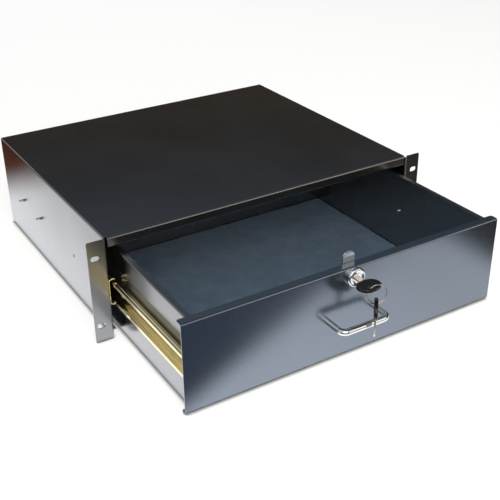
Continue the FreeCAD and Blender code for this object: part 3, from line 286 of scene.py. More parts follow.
def rubber_mat(colours, sizes):
    """Foamed anti-slip rubber, calendered and left matt. Its skin is a fine open grain that
    scatters light, darker in the pits, over a broader mottle from the rolls."""
    material, tree, shader, place = new_material("anti-slip rubber, calendered")
    # the grain is 0.5 mm wide, drawn three times coarser so that it shows
    mottle_wide = 0.018
    grain = add_node(tree, "ShaderNodeTexNoise", {
        "Vector": place, "Scale": 1 / sizes.mat_grain, "Detail": 3.0, "Roughness": 0.7})
    mottle = add_node(tree, "ShaderNodeTexNoise", {
        "Vector": place, "Scale": 1 / mottle_wide, "Detail": 2.0, "Roughness": 0.5})
    both = add_node(tree, "ShaderNodeMath", {
        0: grain.outputs["Fac"], 1: mottle.outputs["Fac"]}, operation="ADD")
    spread = add_node(tree, "ShaderNodeMapRange", {
        "Value": both.outputs["Value"], "From Min": 0.78, "From Max": 1.22})
    skin = add_node(tree, "ShaderNodeMix", {
        "Factor": spread.outputs["Result"], "A": (*colours.mat_dark, 1.0),
        "B": (*colours.mat, 1.0)}, data_type="RGBA")
    bump = add_node(tree, "ShaderNodeBump", {
        "Height": grain.outputs["Fac"], "Strength": 0.4, "Distance": 0.00015})
    set_inputs(tree, shader, {
        "Base Color": skin.outputs["Result"], "Roughness": 0.72, "IOR": 1.5,
        "Normal": bump.outputs["Normal"], "Sheen Weight": 0.15})
    return material


def key_plastic(colours):
    """ABS, injection moulded with a light spark texture and polished by pockets: nearly black,
    with a broad soft gloss and fine handling scratches."""
    material, tree, shader, place = new_material("black ABS, moulded")
    # spark texture 0.15 mm wide, drawn at 0.5 mm, and wear about 4 mm wide
    spark = add_node(tree, "ShaderNodeTexNoise", {
        "Vector": place, "Scale": 2000.0, "Detail": 2.0})
    wear = add_node(tree, "ShaderNodeTexNoise", {
        "Vector": place, "Scale": 260.0, "Detail": 3.0})
    rough = add_node(tree, "ShaderNodeMapRange", {
        "Value": wear.outputs["Fac"], "From Min": 0.3, "From Max": 0.7,
        "To Min": 0.14, "To Max": 0.32})
    tone = add_node(tree, "ShaderNodeMix", {
        "Factor": wear.outputs["Fac"], "A": (*colours.plastic, 1.0),
        "B": (*(1.6 * c for c in colours.plastic), 1.0)}, data_type="RGBA")
    bump = add_node(tree, "ShaderNodeBump", {
        "Height": spark.outputs["Fac"], "Strength": 0.15, "Distance": 0.00003})
    set_inputs(tree, shader, {
        "Base Color": tone.outputs["Result"], "Roughness": rough.outputs["Result"],
        "Normal": bump.outputs["Normal"], "IOR": 1.54})
    return material


def bright_zinc(colours):
    """Zinc plate with a clear film, barrel plated: bluish white, with a crystal grain that
    makes it satin."""
    return plated_metal("bright zinc, barrel plated", colours.zinc, 0.86, (0.14, 0.22), 0.003,
                        0.000004)


def chrome(colours):
    """Chrome over nickel on a polished die casting: a mirror with only a trace of haze."""
    return plated_metal("chrome, polished", colours.chrome, 0.94, (0.03, 0.06), 0.005, 0.000002)


def nickel(colours):
    """Nickel plate on pressed steel: warm white, softly brushed by handling."""
    return plated_metal("nickel, plated", colours.nickel, 0.88, (0.16, 0.28), 0.003, 0.000004)


def ball_steel(colours):
    """Through-hardened bearing steel, lapped: a small sharp mirror under a film of grease."""
    return plated_metal("bearing steel, lapped", colours.steel, 0.85, (0.06, 0.12), 0.001,
                        0.000002)


def finish_nodes(material, *names):
    """Gives one material to model nodes, in place of the one they came with."""
    for name in names:
        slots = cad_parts[name].data.materials
        slots.clear()
        slots.append(material)


# ---------------------------------------------------------------- meshes

def surface(name, grids, material, sharp=50.0, wrap_rows=False):
    """One mesh object from grids of points, each an array of rows by columns by x, y, z. Four
    neighbours make a face, the last column joins the first, and so do the rows where the
    profile is closed. Points that fall together, at poles, are merged, and the faces are then
    turned outwards. Edges sharper than the given angle in degrees stay crisp."""
    points, faces, used = [], [], 0
    for grid in grids:
        rows, columns = grid.shape[:2]
        index = used + np.arange(rows * columns).reshape(rows, columns)
        index = np.hstack([index, index[:, :1]])
        if wrap_rows:
            index = np.vstack([index, index[:1]])
        faces.append(np.stack([index[:-1, :-1], index[:-1, 1:], index[1:, 1:], index[1:, :-1]],
                              axis=-1).reshape(-1, 4))
        points.append(grid.reshape(-1, 3))
        used += rows * columns
    mesh = bpy.data.meshes.new(name)
    mesh.from_pydata(np.concatenate(points).tolist(), [], np.concatenate(faces).tolist())
    work = bmesh.new()
    work.from_mesh(mesh)
    bmesh.ops.remove_doubles(work, verts=work.verts, dist=1e-7)
    bmesh.ops.recalc_face_normals(work, faces=work.faces)
    work.to_mesh(mesh)
    work.free()
    mesh.shade_smooth()
    mesh.set_sharp_from_angle(angle=math.radians(sharp))
    mesh.materials.append(material)
    piece = bpy.data.objects.new(name, mesh)
    bpy.context.scene.collection.objects.link(piece)
    return piece


def stand_in(piece, body, node):
    """Lets a finer piece ride a body in place of a model node."""
    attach(piece, body)
    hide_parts(node)


def turned(profile, columns, ripple=None):
    """A profile of radius and height turned about the upright: x = r cos a, y = r sin a, z = h.
    ripple, if given, is added to the radius and varies over rows and angles."""
    around = np.linspace(0, 2 * math.pi, columns, endpoint=False)
    radius = np.repeat(profile[:, :1], columns, axis=1)
    if ripple is not None:
        radius = radius + ripple(profile[:, 1:2], around[None, :])
    height = np.repeat(profile[:, 1:2], columns, axis=1)
    return np.stack([radius * np.cos(around), radius * np.sin(around), height], axis=-1)


def placed(points, origin, across, along, up):
    """Points given by three lengths, carried to the directions across, along and up at origin."""
    return points @ np.array([across, along, up], float) + np.array(origin, float)


def corners(node):
    """The low and the high corner of a model node's box."""
    return (np.array(corner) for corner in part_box(node))


def middle(node):
    """The middle and the half size of a model node's box."""
    low, high = corners(node)
    return (low + high) / 2, (high - low) / 2


def corner_arc(centre_r, centre_h, radius, start, end, count=9):
    """Points of a profile's rounded corner, from one angle in degrees to another."""
    bend = np.radians(np.linspace(start, end, count))
    return np.column_stack([centre_r + radius * np.cos(bend), centre_h + radius * np.sin(bend)])


def line(*corners, step=None):
    """Points of a profile's straight runs through its corners, step apart or only the corners."""
    runs = []
    for (r0, h0), (r1, h1) in zip(corners[:-1], corners[1:]):
        count = 2 if step is None else max(2, int(math.hypot(r1 - r0, h1 - h0) / step) + 1)
        share = np.linspace(0, 1, count)[:, None]
        runs.append(np.array([[r0, h0]]) * (1 - share) + np.array([[r1, h1]]) * share)
    return np.concatenate(runs)


def thread(pitch, depth, top, bottom):
    """The radius taken off by a single-start thread between two heights: a triangle wave of the
    height plus the angle over a turn, which fades out in the last half pitch at either end."""
    def ripple(height, around):
        turn = np.mod(height / pitch + around / (2 * math.pi), 1.0)
        wave = np.abs(2 * turn - 1)
        inside = np.clip(np.minimum(height - bottom, top - height) / (0.5 * pitch), 0, 1)
        return -depth * wave * inside
    return ripple


def pan_screw(head_radius, head_height, radius, shank, pitch, columns=40):
    """A cross-recessed pan head screw about the upright, its head's underside at nought. The
    head is a dome, height falling with the square of the radius, less a cross: a recess as deep
    as the narrower of x and y is inside the arm's half width, tapering to the arm's end. The
    shank carries the thread and ends in a chamfer."""
    rim, tip, dome_rows = 0.25 * head_height, -shank, 18
    dome_r = np.linspace(0, head_radius - rim, dome_rows)
    dome = np.column_stack([
        dome_r, head_height - 0.22 * head_height * (dome_r / head_radius) ** 2])
    edge = corner_arc(head_radius - rim, dome[-1, 1] - rim, rim, 90, 0, 5)[1:]
    body = line((radius, -0.0002), (radius, tip + 0.0006), step=pitch / 8)
    profile = np.concatenate([
        dome, edge, [[head_radius, 0.0], [radius, 0.0]], body, [[0.7 * radius, tip], [0.0, tip]]])
    grid = turned(profile, columns, thread(pitch, 0.55 * pitch, -0.0004, tip + 0.0005))
    arm, arm_end = 0.16 * head_radius, 0.62 * head_radius
    x, y = np.abs(grid[:dome_rows, :, 0]), np.abs(grid[:dome_rows, :, 1])
    inside = np.clip((arm - np.minimum(x, y)) / (0.4 * arm) + 1, 0, 1)
    inside = inside * np.clip((arm_end - np.hypot(x, y)) / (0.15 * arm_end), 0, 1)
    deep = 0.6 * head_height * (1 - 0.35 * np.hypot(x, y) / arm_end)
    grid[:dome_rows, :, 2] -= deep * inside
    return grid


def directions(path):
    """The unit direction of a path at each of its points."""
    step = np.gradient(path, axis=0)
    return step / np.linalg.norm(step, axis=1)[:, None]


def swept(path, one, other, columns):
    """A closed rod: an oval carried along a path. Each point of the path has the oval's two half
    axes, one and other. The ovals at both ends shrink to a point."""
    around = np.linspace(0, 2 * math.pi, columns, endpoint=False)[None, :, None]
    path, one, other = (
        np.concatenate([a[:1], a, a[-1:]])[:, None] for a in (path, one, other))
    size = np.ones((len(path), 1, 1))
    size[[0, -1]] = 0.0
    return path + size * (np.cos(around) * one + np.sin(around) * other)


def oblong_reach(away, half_long, half_wide):
    """How far an oblong's outline is from its middle in each direction: the straight side where
    the ray meets it first, else the round end, from the quadratic of ray and circle."""
    flat = half_long - half_wide
    side = half_wide / np.maximum(np.abs(away[:, 1]), 1e-9)
    ahead = np.abs(away[:, 0]) * flat
    end = ahead + np.sqrt(np.maximum(ahead ** 2 - flat ** 2 + half_wide ** 2, 0))
    return np.where(np.abs(away[:, 0]) * side > flat, end, side)


def reach(away, inside):
    """How far an outline is from the middle in each direction, by halving the ray: inside tells
    which points are within the outline."""
    low, high = np.zeros(len(away)), np.ones(len(away))
    for _ in range(40):
        probe = (low + high) / 2
        within = inside(*(away * probe[:, None]).T)
        low, high = np.where(within, probe, low), np.where(within, high, probe)
    return low


def holed_plate(away, inner, outer, half_thick, lip, edge, field=0.0, rim=0.0):
    """A plate with a hole, as one closed surface about the hole's middle. Along each ray it
    runs from the hole's wall, round a lip, over the upper face, round the edge, and back below.
    The face sinks by field, on a smoothstep, where both hole and edge are further than rim."""
    bend = np.linspace(0, math.pi / 2, 8)
    start, stop = inner + lip, outer - edge
    rows = [inner + lip * (1 - math.cos(b)) for b in bend]
    heights = [np.full(len(away), half_thick - lip * (1 - math.sin(b))) for b in bend]
    for share in np.linspace(0, 1, 14)[1:-1]:
        rows.append(start + share * (stop - start))
        inwards = np.minimum(share * (stop - start) + lip, (1 - share) * (stop - start) + edge)
        drop = np.clip((inwards - 0.75 * rim) / max(0.35 * rim, 1e-9), 0, 1)
        heights.append(half_thick - field * drop * drop * (3 - 2 * drop))
    rows += [outer - edge * (1 - math.cos(b)) for b in bend[::-1]]
    heights += [np.full(len(away), half_thick - edge * (1 - math.sin(b))) for b in bend[::-1]]
    radius = np.concatenate([rows, rows[::-1]])
    height = np.concatenate([heights, -np.array(heights[::-1])])
    return np.stack([away[:, 0] * radius, away[:, 1] * radius, height], axis=-1)


def rays(columns):
    """Directions round a middle, evenly spaced."""
    around = np.linspace(0, 2 * math.pi, columns, endpoint=False)
    return np.stack([np.cos(around), np.sin(around)], axis=-1)


def key_head_grid(half_wide, half_long, half_thick, sizes, power=2.2):
    """A moulded key head: an oval, |x/a|^n + |y/b|^n = 1 with the power n, with a raised rim and
    an oblong slot for the ring near its outer end."""
    slot_at = half_long - sizes.slot_back
    away = rays(96)
    slot = oblong_reach(away, sizes.slot_long / 2, sizes.slot_wide / 2)
    oval = reach(away, lambda x, y: (np.abs(x) / half_wide) ** power
                 + (np.abs(y + slot_at) / half_long) ** power < 1)
    grid = holed_plate(away, slot, oval, half_thick, lip=0.0005, edge=0.0014,
                       field=sizes.head_field, rim=sizes.head_rim)
    return grid + np.array([0.0, slot_at, 0.0])


# ---------------------------------------------------------------- operators

class RACKDRAWER_OT_stage(bpy.types.Operator):
    """Sets up the pale floor, the surroundings, the soft lamps and the camera"""
    bl_idname = "rack_drawer.stage"
    bl_label = "Stage"

    # name, place, the point it lights, width, height, watts, colour, seen in reflections
    LAMPS = (
        ("front window", (-0.55, -1.75, 1.05), (0.0, -0.05, 0.0), 1.7, 2.0, 40.0, "#fffdf8", False),
        ("front window, mirrored", (-0.55, -1.76, 1.05), (0.0, -0.05, 0.0), 1.7, 2.0, 14.0,
         "#fffdf8", True),
        ("overhead", (-0.55, -0.35, 1.75), (0.0, 0.05, 0.0), 1.4, 1.4, 9.0, "#fffdf8", False),
        ("right window", (1.15, -1.80, 0.62), (0.1, -0.2, 0.0), 1.5, 1.4, 7.4, "#fff6e4", True),
        ("back fill", (0.4, 2.2, 1.2), (0.0, 0.1, 0.0), 1.2, 1.0, 6.0, "#ffffff", False),
    )
    # the camera: its place, its turns in radians and its lens in millimetres
    EYE = (-0.53757, -0.83654, 0.53051)
    YAW, PITCH, ROLL = 0.547322, 0.500044, -0.012197
    LENS = 64.058

    def execute(self, context):
        scene = context.scene
        scene.view_settings.view_transform = "Standard"
        floor, reach_out = CAD_BOX[0].z - 0.0002, 14
        mesh = bpy.data.meshes.new("floor")
        mesh.from_pydata([(x * reach_out, y * reach_out, floor)
                          for x, y in ((-1, -1), (1, -1), (1, 1), (-1, 1))], [], [(0, 1, 2, 3)])
        ground = bpy.data.objects.new("floor", mesh)
        scene.collection.objects.link(ground)
        mesh.materials.append(self.paper())
        self.surroundings(scene)
        for lamp in self.LAMPS:
            self.lamp(*lamp)
        self.camera(scene)
        return {"FINISHED"}

    def camera(self, scene):
        """A camera that yaws clockwise from the y axis, then pitches down, then rolls."""
        data = bpy.data.cameras.new("camera")
        data.sensor_width, data.lens = 36.0, self.LENS
        data.clip_start, data.clip_end = 0.01, 100.0
        ahead = np.array([math.sin(self.YAW) * math.cos(self.PITCH),
                          math.cos(self.YAW) * math.cos(self.PITCH), -math.sin(self.PITCH)])
        right = np.array([math.cos(self.YAW), -math.sin(self.YAW), 0.0])
        up = np.cross(right, ahead)
        right, up = (math.cos(self.ROLL) * right + math.sin(self.ROLL) * up,
                     -math.sin(self.ROLL) * right + math.cos(self.ROLL) * up)
        turn = np.eye(4)
        turn[:3] = np.column_stack([right, up, -ahead, self.EYE])
        camera = bpy.data.objects.new("camera", data)
        camera.matrix_world = Matrix(turn.tolist())
        scene.collection.objects.link(camera)
        scene.camera = camera

    @staticmethod
    def lamp(name, place, aim, wide, tall, power, code, mirrored):
        """A soft rectangular lamp, turned to the point that it lights. One that isn't mirrored
        gives its light without showing as a bright patch in the gloss."""
        data = bpy.data.lights.new(name, "AREA")
        data.shape = "RECTANGLE"
        data.size, data.size_y = wide, tall
        data.energy = power
        data.color = linear(code)
        item = bpy.data.objects.new(name, data)
        item.location = place
        item.visible_glossy = mirrored
        towards = np.array(aim) - np.array(place)
        item.rotation_mode = "QUATERNION"
        item.rotation_quaternion = Vector(towards.tolist()).to_track_quat("-Z", "Y")
        bpy.context.scene.collection.objects.link(item)

    @staticmethod
    def paper():
        """White paper under the object. The eye sees it white, with the lamps' real shadow and a
        painted contact shadow close to the object.
        Reflections see the same paper as far as it goes, with the same painted contact shadow and a
        painted fall-off of light across it, then the dark room before it and to the right of it,
        and the brown table behind."""
        material = bpy.data.materials.new("white paper")
        tree = empty_tree(material)
        place = add_node(tree, "ShaderNodeTexCoord").outputs["Object"]
        apart = add_node(tree, "ShaderNodeSeparateXYZ", {"Vector": place})
        # the sheet's front edge: 0.281 m before the middle, further forward to the right
        slope = add_node(tree, "ShaderNodeMath", {
            0: apart.outputs["X"], 1: 0.44, 2: 0.281}, operation="MULTIPLY_ADD")
        ahead = add_node(tree, "ShaderNodeMath", {
            0: apart.outputs["Y"], 1: slope.outputs["Value"]}, operation="ADD")
        # where the sheet fades out before, behind and to the right of the object
        sheet = None
        for value, begin, end, low in ((ahead.outputs["Value"], -0.022, 0.022, 0.0),
                                       (apart.outputs["Y"], 0.42, 0.58, 1.0),
                                       (apart.outputs["X"], 0.26, 0.33, 1.0)):
            edge = add_node(tree, "ShaderNodeMapRange", {
                "Value": value, "From Min": begin, "From Max": end, "To Min": low,
                "To Max": 1.0 - low}, interpolation_type="SMOOTHSTEP").outputs["Result"]
            sheet = edge if sheet is None else add_node(tree, "ShaderNodeMath", {
                0: sheet, 1: edge}, operation="MULTIPLY").outputs["Value"]
        # painted contact shadow: ambient occlusion dims the paper's glow close to the object, where
        # the glow would fill in the light that the object keeps from the paper
        contact = add_node(tree, "ShaderNodeAmbientOcclusion", {"Distance": 0.008}, samples=8)
        near = add_node(tree, "ShaderNodeMapRange", {
            "Value": contact.outputs["AO"], "From Min": 0.40, "From Max": 0.85,
            "To Min": 0.03, "To Max": 1.0}, interpolation_type="SMOOTHSTEP")
        # painted light: in reflections the paper is brightest just left of the object, and falls
        # off both ways
        across = add_node(tree, "ShaderNodeMapRange", {
            "Value": apart.outputs["X"], "From Min": -0.5, "From Max": 0.3})
        fall = add_node(tree, "ShaderNodeValToRGB", {"Fac": across.outputs["Result"]})
        set_stops(fall, *((spot, (share, share, share, 1.0)) for spot, share in (
            (0.17, 0.55), (0.32, 1.0), (0.55, 0.97), (0.86, 0.76))))
        # the reflected paper's brightness: the painted contact shadow times the painted fall-off of
        # light
        lit = add_node(tree, "ShaderNodeMath", {
            0: near.outputs["Result"], 1: 1.28}, operation="MULTIPLY")
        level = add_node(tree, "ShaderNodeMath", {
            0: lit.outputs["Value"], 1: fall.outputs["Color"]}, operation="MULTIPLY")
        # beyond the sheet: the room in front, then its right part, then the table behind
        seen = linear("#4d5463", 1.0)
        for axis, start, code in (("X", 0.2, "#463c39"), ("Y", 0.3, "#5c3526")):
            past = add_node(tree, "ShaderNodeMath", {
                0: apart.outputs[axis], 1: start}, operation="GREATER_THAN")
            seen = add_node(tree, "ShaderNodeMix", {
                "Factor": past.outputs["Value"], "A": seen, "B": linear(code, 1.0)},
                data_type="RGBA").outputs["Result"]
        seen = add_node(tree, "ShaderNodeMix", {
            "Factor": sheet, "A": seen, "B": (1.0, 1.025, 1.06, 1.0)},
            data_type="RGBA").outputs["Result"]
        paper = add_node(tree, "ShaderNodeBsdfDiffuse", {"Color": (0.36, 0.36, 0.36, 1.0)})
        # the glow that the eye sees carries the painted contact shadow
        bright = add_node(tree, "ShaderNodeMath", {
            0: near.outputs["Result"], 1: 0.74}, operation="MULTIPLY")
        glow = add_node(tree, "ShaderNodeEmission", {"Strength": bright.outputs["Value"]})
        eye = add_node(tree, "ShaderNodeAddShader", {
            0: paper.outputs["BSDF"], 1: glow.outputs["Emission"]})
        mirrored = add_node(tree, "ShaderNodeEmission", {
            "Color": seen, "Strength": level.outputs["Value"]})
        plain = add_node(tree, "ShaderNodeBsdfDiffuse", {"Color": (0.8, 0.8, 0.8, 1.0)})
        add_node(tree, "ShaderNodeOutputMaterial", {"Surface": by_ray(
            tree, eye.outputs["Shader"], mirrored.outputs["Emission"], plain.outputs["BSDF"])})
        return material

    @staticmethod
    def surroundings(scene):
        """White to the eye, so a view to the horizon has the same ground as one down to the
        floor. Reflections see a dim room, warm at eye height and cooler overhead, with a pale
        wall on the left, and the room's even light is a quarter of white."""
        world = bpy.data.worlds.new("room")
        scene.world = world
        tree = empty_tree(world)
        way = add_node(tree, "ShaderNodeTexCoord").outputs["Generated"]
        apart = add_node(tree, "ShaderNodeSeparateXYZ", {"Vector": way})
        room = add_node(tree, "ShaderNodeValToRGB", {"Fac": apart.outputs["Z"]})
        # the sine of the height above the horizon, and the room's colour there
        set_stops(room, *((height, linear(code, 1.0)) for height, code in (
            (0.0, "#6d675c"), (0.31, "#3a2e16"), (0.37, "#26190c"), (0.42, "#2d3136"),
            (0.48, "#566170"), (0.53, "#6f7c88"), (0.85, "#5a6470"))))
        leftwards = add_node(tree, "ShaderNodeMapRange", {
            "Value": apart.outputs["X"], "From Min": -0.08, "From Max": -0.34})
        walls = add_node(tree, "ShaderNodeMix", {
            "Factor": leftwards.outputs["Result"], "A": room.outputs["Color"],
            "B": linear("#c2c0b6", 1.0)}, data_type="RGBA")
        eye, gloss, rest = (
            add_node(tree, "ShaderNodeBackground", {
                "Color": shade, "Strength": strength}).outputs["Background"]
            for shade, strength in (((1.0, 1.0, 1.0, 1.0), 1.0), (walls.outputs["Result"], 1.0),
                                    ((1.0, 1.0, 1.0, 1.0), 0.25)))
        add_node(tree, "ShaderNodeOutputWorld", {"Surface": by_ray(tree, eye, gloss, rest)})


class RACKDRAWER_OT_sheet_metal(bpy.types.Operator):
    """Coats the casing, its back, the drawer front and the tray"""
    bl_idname = "rack_drawer.sheet_metal"
    bl_label = "Sheet metal"

    def execute(self, context):
        colours, sizes = context.scene.rack_drawer_colours, context.scene.rack_drawer_sizes
        casing = powder_coat("black powder coat, baked", tuple(colours.casing_coat),
                             (1.0, 0.99, 0.98), 0.26, sizes.orange_peel)
        # the drawer front takes the same black coat with a painted blue reflection: a bluish base
        # and a blue tint on its gloss
        drawer = powder_coat("black powder coat, baked, painted blue reflection", tuple(colours.drawer_coat_and_painted_reflection),
                             (0.66, 0.80, 1.0), 0.26, sizes.orange_peel)
        finish_nodes(casing, "casing_shell", "rear_panel", "rear_rivets", "drawer_tray")
        finish_nodes(drawer, "front_panel")
        return {"FINISHED"}


class RACKDRAWER_OT_mat(bpy.types.Operator):
    """Gives the drawer's mat its rubber grain"""
    bl_idname = "rack_drawer.mat"
    bl_label = "Mat"

    def execute(self, context):
        colours, sizes = context.scene.rack_drawer_colours, context.scene.rack_drawer_sizes
        finish_nodes(rubber_mat(colours, sizes), "floor_mat")
        return {"FINISHED"}


class RACKDRAWER_OT_slides(bpy.types.Operator):
    """Finishes both slides: yellow zinc members, bright cages, steel balls"""
    bl_idname = "rack_drawer.slides"
    bl_label = "Slides"

    def execute(self, context):
        colours, sizes = context.scene.rack_drawer_colours, context.scene.rack_drawer_sizes
        gold, zinc = yellow_zinc(colours, sizes), bright_zinc(colours)
        steel = ball_steel(colours)
        for side in ("left", "right"):
            finish_nodes(gold, "slide_outer_" + side, "slide_inner_" + side)
            finish_nodes(zinc, "ball_cage_" + side)
            finish_nodes(steel, "slide_balls_" + side)
        return {"FINISHED"}


class RACKDRAWER_OT_handle(bpy.types.Operator):
    """Bends the chromed rod handle: two legs, two quarter bends and a bar"""
    bl_idname = "rack_drawer.handle"
    bl_label = "Handle"

    def execute(self, context):
        colours, sizes = context.scene.rack_drawer_colours, context.scene.rack_drawer_sizes
        centre, half = middle("handle")
        radius, bend = sizes.handle_rod / 2, sizes.handle_bend
        leg, bar, foot = half[0] - radius, centre[1] - half[1] + radius, centre[1] + half[1]
        # half the path: up one leg, round its bend and to the bar's middle
        up = np.linspace(foot, bar + bend, 14)
        turn = np.linspace(0, math.pi / 2, 14)[1:]
        out = np.linspace(leg - bend, 0, 20)[1:]
        x = np.concatenate([np.full(len(up), leg), leg - bend + bend * np.cos(turn), out])
        y = np.concatenate([up, bar + bend - bend * np.sin(turn), np.full(len(out), bar)])
        path = np.column_stack([x, y, np.full(len(x), centre[2])])
        path = np.concatenate([path, (path * np.array([-1, 1, 1]))[-2::-1]])
        upright = np.tile([0.0, 0.0, 1.0], (len(path), 1))
        grid = swept(path, radius * np.cross(directions(path), upright), radius * upright, 40)
        piece = surface("handle_rod", [grid], chrome(colours))
        stand_in(piece, "drawer", "handle")
        return {"FINISHED"}


class RACKDRAWER_OT_lock(bpy.types.Operator):
    """Turns the lock's bezel and threaded barrel, and finishes plug, nut, cam and washer"""
    bl_idname = "rack_drawer.lock"
    bl_label = "Lock"

    def execute(self, context):
        colours, sizes = context.scene.rack_drawer_colours, context.scene.rack_drawer_sizes
        shine, zinc = chrome(colours), bright_zinc(colours)
        self.bezel(shine, sizes)
        self.cam(zinc, sizes)
        finish_nodes(shine, "lock_plug")
        finish_nodes(zinc, "cam_washer", "lock_nut")
        return {"FINISHED"}

    @staticmethod
    def bezel(shine, sizes):
        """The lock's body: a bezel with a round crown and a dished face, on a threaded barrel."""
        low, high = corners("lock_body")
        centre, half = middle("lock_body")
        plug = middle("lock_plug")[1][0]
        # heights here run out of the drawer front, from nought at the bezel's face
        back, panel = low[1] - high[1], low[1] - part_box("front_panel")[0].y
        dish, crown, pitch = sizes.bezel_dish, sizes.bezel_round, sizes.lock_thread
        edge, bore, barrel = half[0], plug + 0.0001, 0.008
        broken, bevel = 0.0003, 0.0004
        profile = np.concatenate([
            line((bore, back), (bore, -dish - 0.0002)),
            corner_arc(bore + broken, -dish - broken, broken, 180, 90, 5)[1:],
            line((bore + bevel, -dish), (edge - crown, 0.0), step=0.0008)[1:],
            corner_arc(edge - crown, -crown, crown, 90, 0, 14)[1:],
            line((edge, -crown - 0.0001), (edge, panel + bevel)),
            corner_arc(edge - broken, panel + broken, broken, 0, -90, 4),
            line((barrel, panel), (barrel, back + bevel), step=pitch / 8),
            [[barrel - 0.0005, back]]])
        grid = turned(profile, 96, thread(pitch, 0.0005, panel - 0.0014, back + broken))
        # the barrel stays plain where it passes the drawer front, in the first quarter of the rows
        plain = len(profile) // 4
        grid[:plain] = turned(profile, 96)[:plain]
        body = placed(grid, (centre[0], low[1], centre[2]), (1, 0, 0), (0, 0, 1), (0, -1, 0))
        piece = surface("lock_bezel", [body], shine, sharp=35.0, wrap_rows=True)
        stand_in(piece, "drawer", "lock_body")

    @staticmethod
    def cam(zinc, sizes):
        """The cam, blanked from strip, which rounds its edges: an oblong about the plug, round
        at its upper end, with a square hole for the plug's tail."""
        axle, (blank, size) = middle("lock_body")[0], middle("lock_cam")
        away, rise = rays(128), blank[2] - axle[2]
        square = sizes.cam_hole / 2 / np.maximum(np.abs(away).max(axis=1), 1e-9)

        def within(x, y):
            corner = size[0] * np.where(y > rise, 0.98, 0.5)
            return np.hypot(np.maximum(np.abs(x) - size[0] + corner, 0),
                            np.maximum(np.abs(y - rise) - size[2] + corner, 0)) < corner

        grid = holed_plate(away, square, reach(away, within), size[1], lip=0.0002, edge=0.0006)
        cam = placed(grid, (axle[0], blank[1], axle[2]), (1, 0, 0), (0, 0, 1), (0, -1, 0))
        piece = surface("lock_cam_blank", [cam], zinc, sharp=60.0, wrap_rows=True)
        stand_in(piece, "lock_core", "lock_cam")


class RACKDRAWER_OT_keys(bpy.types.Operator):
    """Moulds both key heads and plates their blades"""
    bl_idname = "rack_drawer.keys"
    bl_label = "Keys"

    def execute(self, context):
        colours, sizes = context.scene.rack_drawer_colours, context.scene.rack_drawer_sizes
        plastic = key_plastic(colours)
        centre, half = middle("key_head")
        # polishing takes about a seventh of a millimetre off each edge
        polished = half - np.array([0.00014, 0.00014, 0.0])
        grid = key_head_grid(*polished, sizes)
        inserted = placed(grid, centre, (1, 0, 0), (0, -1, 0), (0, 0, 1))
        hanging, _ = middle("spare_key_head")
        cosine, sine = math.cos(sizes.spare_turn), math.sin(sizes.spare_turn)
        spare = placed(grid, hanging, (sine, cosine, 0.0), (0, 0, 1), (cosine, -sine, 0.0))
        for points, body, node in ((inserted, "key", "key_head"),
                                   (spare, "spare_key", "spare_key_head")):
            piece = surface(node + "_moulded", [points], plastic, sharp=60.0, wrap_rows=True)
            stand_in(piece, body, node)
        finish_nodes(nickel(colours), "key_blade", "spare_key_blade")
        return {"FINISHED"}


class RACKDRAWER_OT_ring(bpy.types.Operator):
    """Winds the split ring: one flattened wire, two turns side by side"""
    bl_idname = "rack_drawer.ring"
    bl_label = "Split ring"

    def execute(self, context):
        colours, sizes = context.scene.rack_drawer_colours, context.scene.rack_drawer_sizes
        centre, half = middle("key_ring")
        wide, thin = sizes.ring_wire / 2, sizes.ring_thin / 2
        across = np.array([math.cos(sizes.ring_turn), -math.sin(sizes.ring_turn), 0.0])
        up = np.array([0.0, 0.0, 1.0])
        axis = np.cross(up, across)
        # the wire's middle runs in the middle of the model's ring, whose wire is 1.4 mm thick
        radius = half[2] - 0.0007
        # two turns; the wire steps from one side to the other over a sixth of a turn at the end
        # of the first, and its ends lie against that step; the turns press together a little
        turn, pressed = np.linspace(0, 4 * math.pi, 240), 0.96
        share = np.clip((turn - 2 * math.pi + math.pi / 6) / (math.pi / 3), 0, 1)
        aside = thin * pressed * (2 * share * share * (3 - 2 * share) - 1)
        begin = math.radians(120)
        out = np.cos(turn + begin)[:, None] * across + np.sin(turn + begin)[:, None] * up
        path = centre + radius * out + aside[:, None] * axis
        grid = swept(path, wide * out, thin * np.cross(directions(path), out), 14)
        piece = surface("split_ring", [grid], nickel(colours))
        stand_in(piece, "ring", "key_ring")
        return {"FINISHED"}


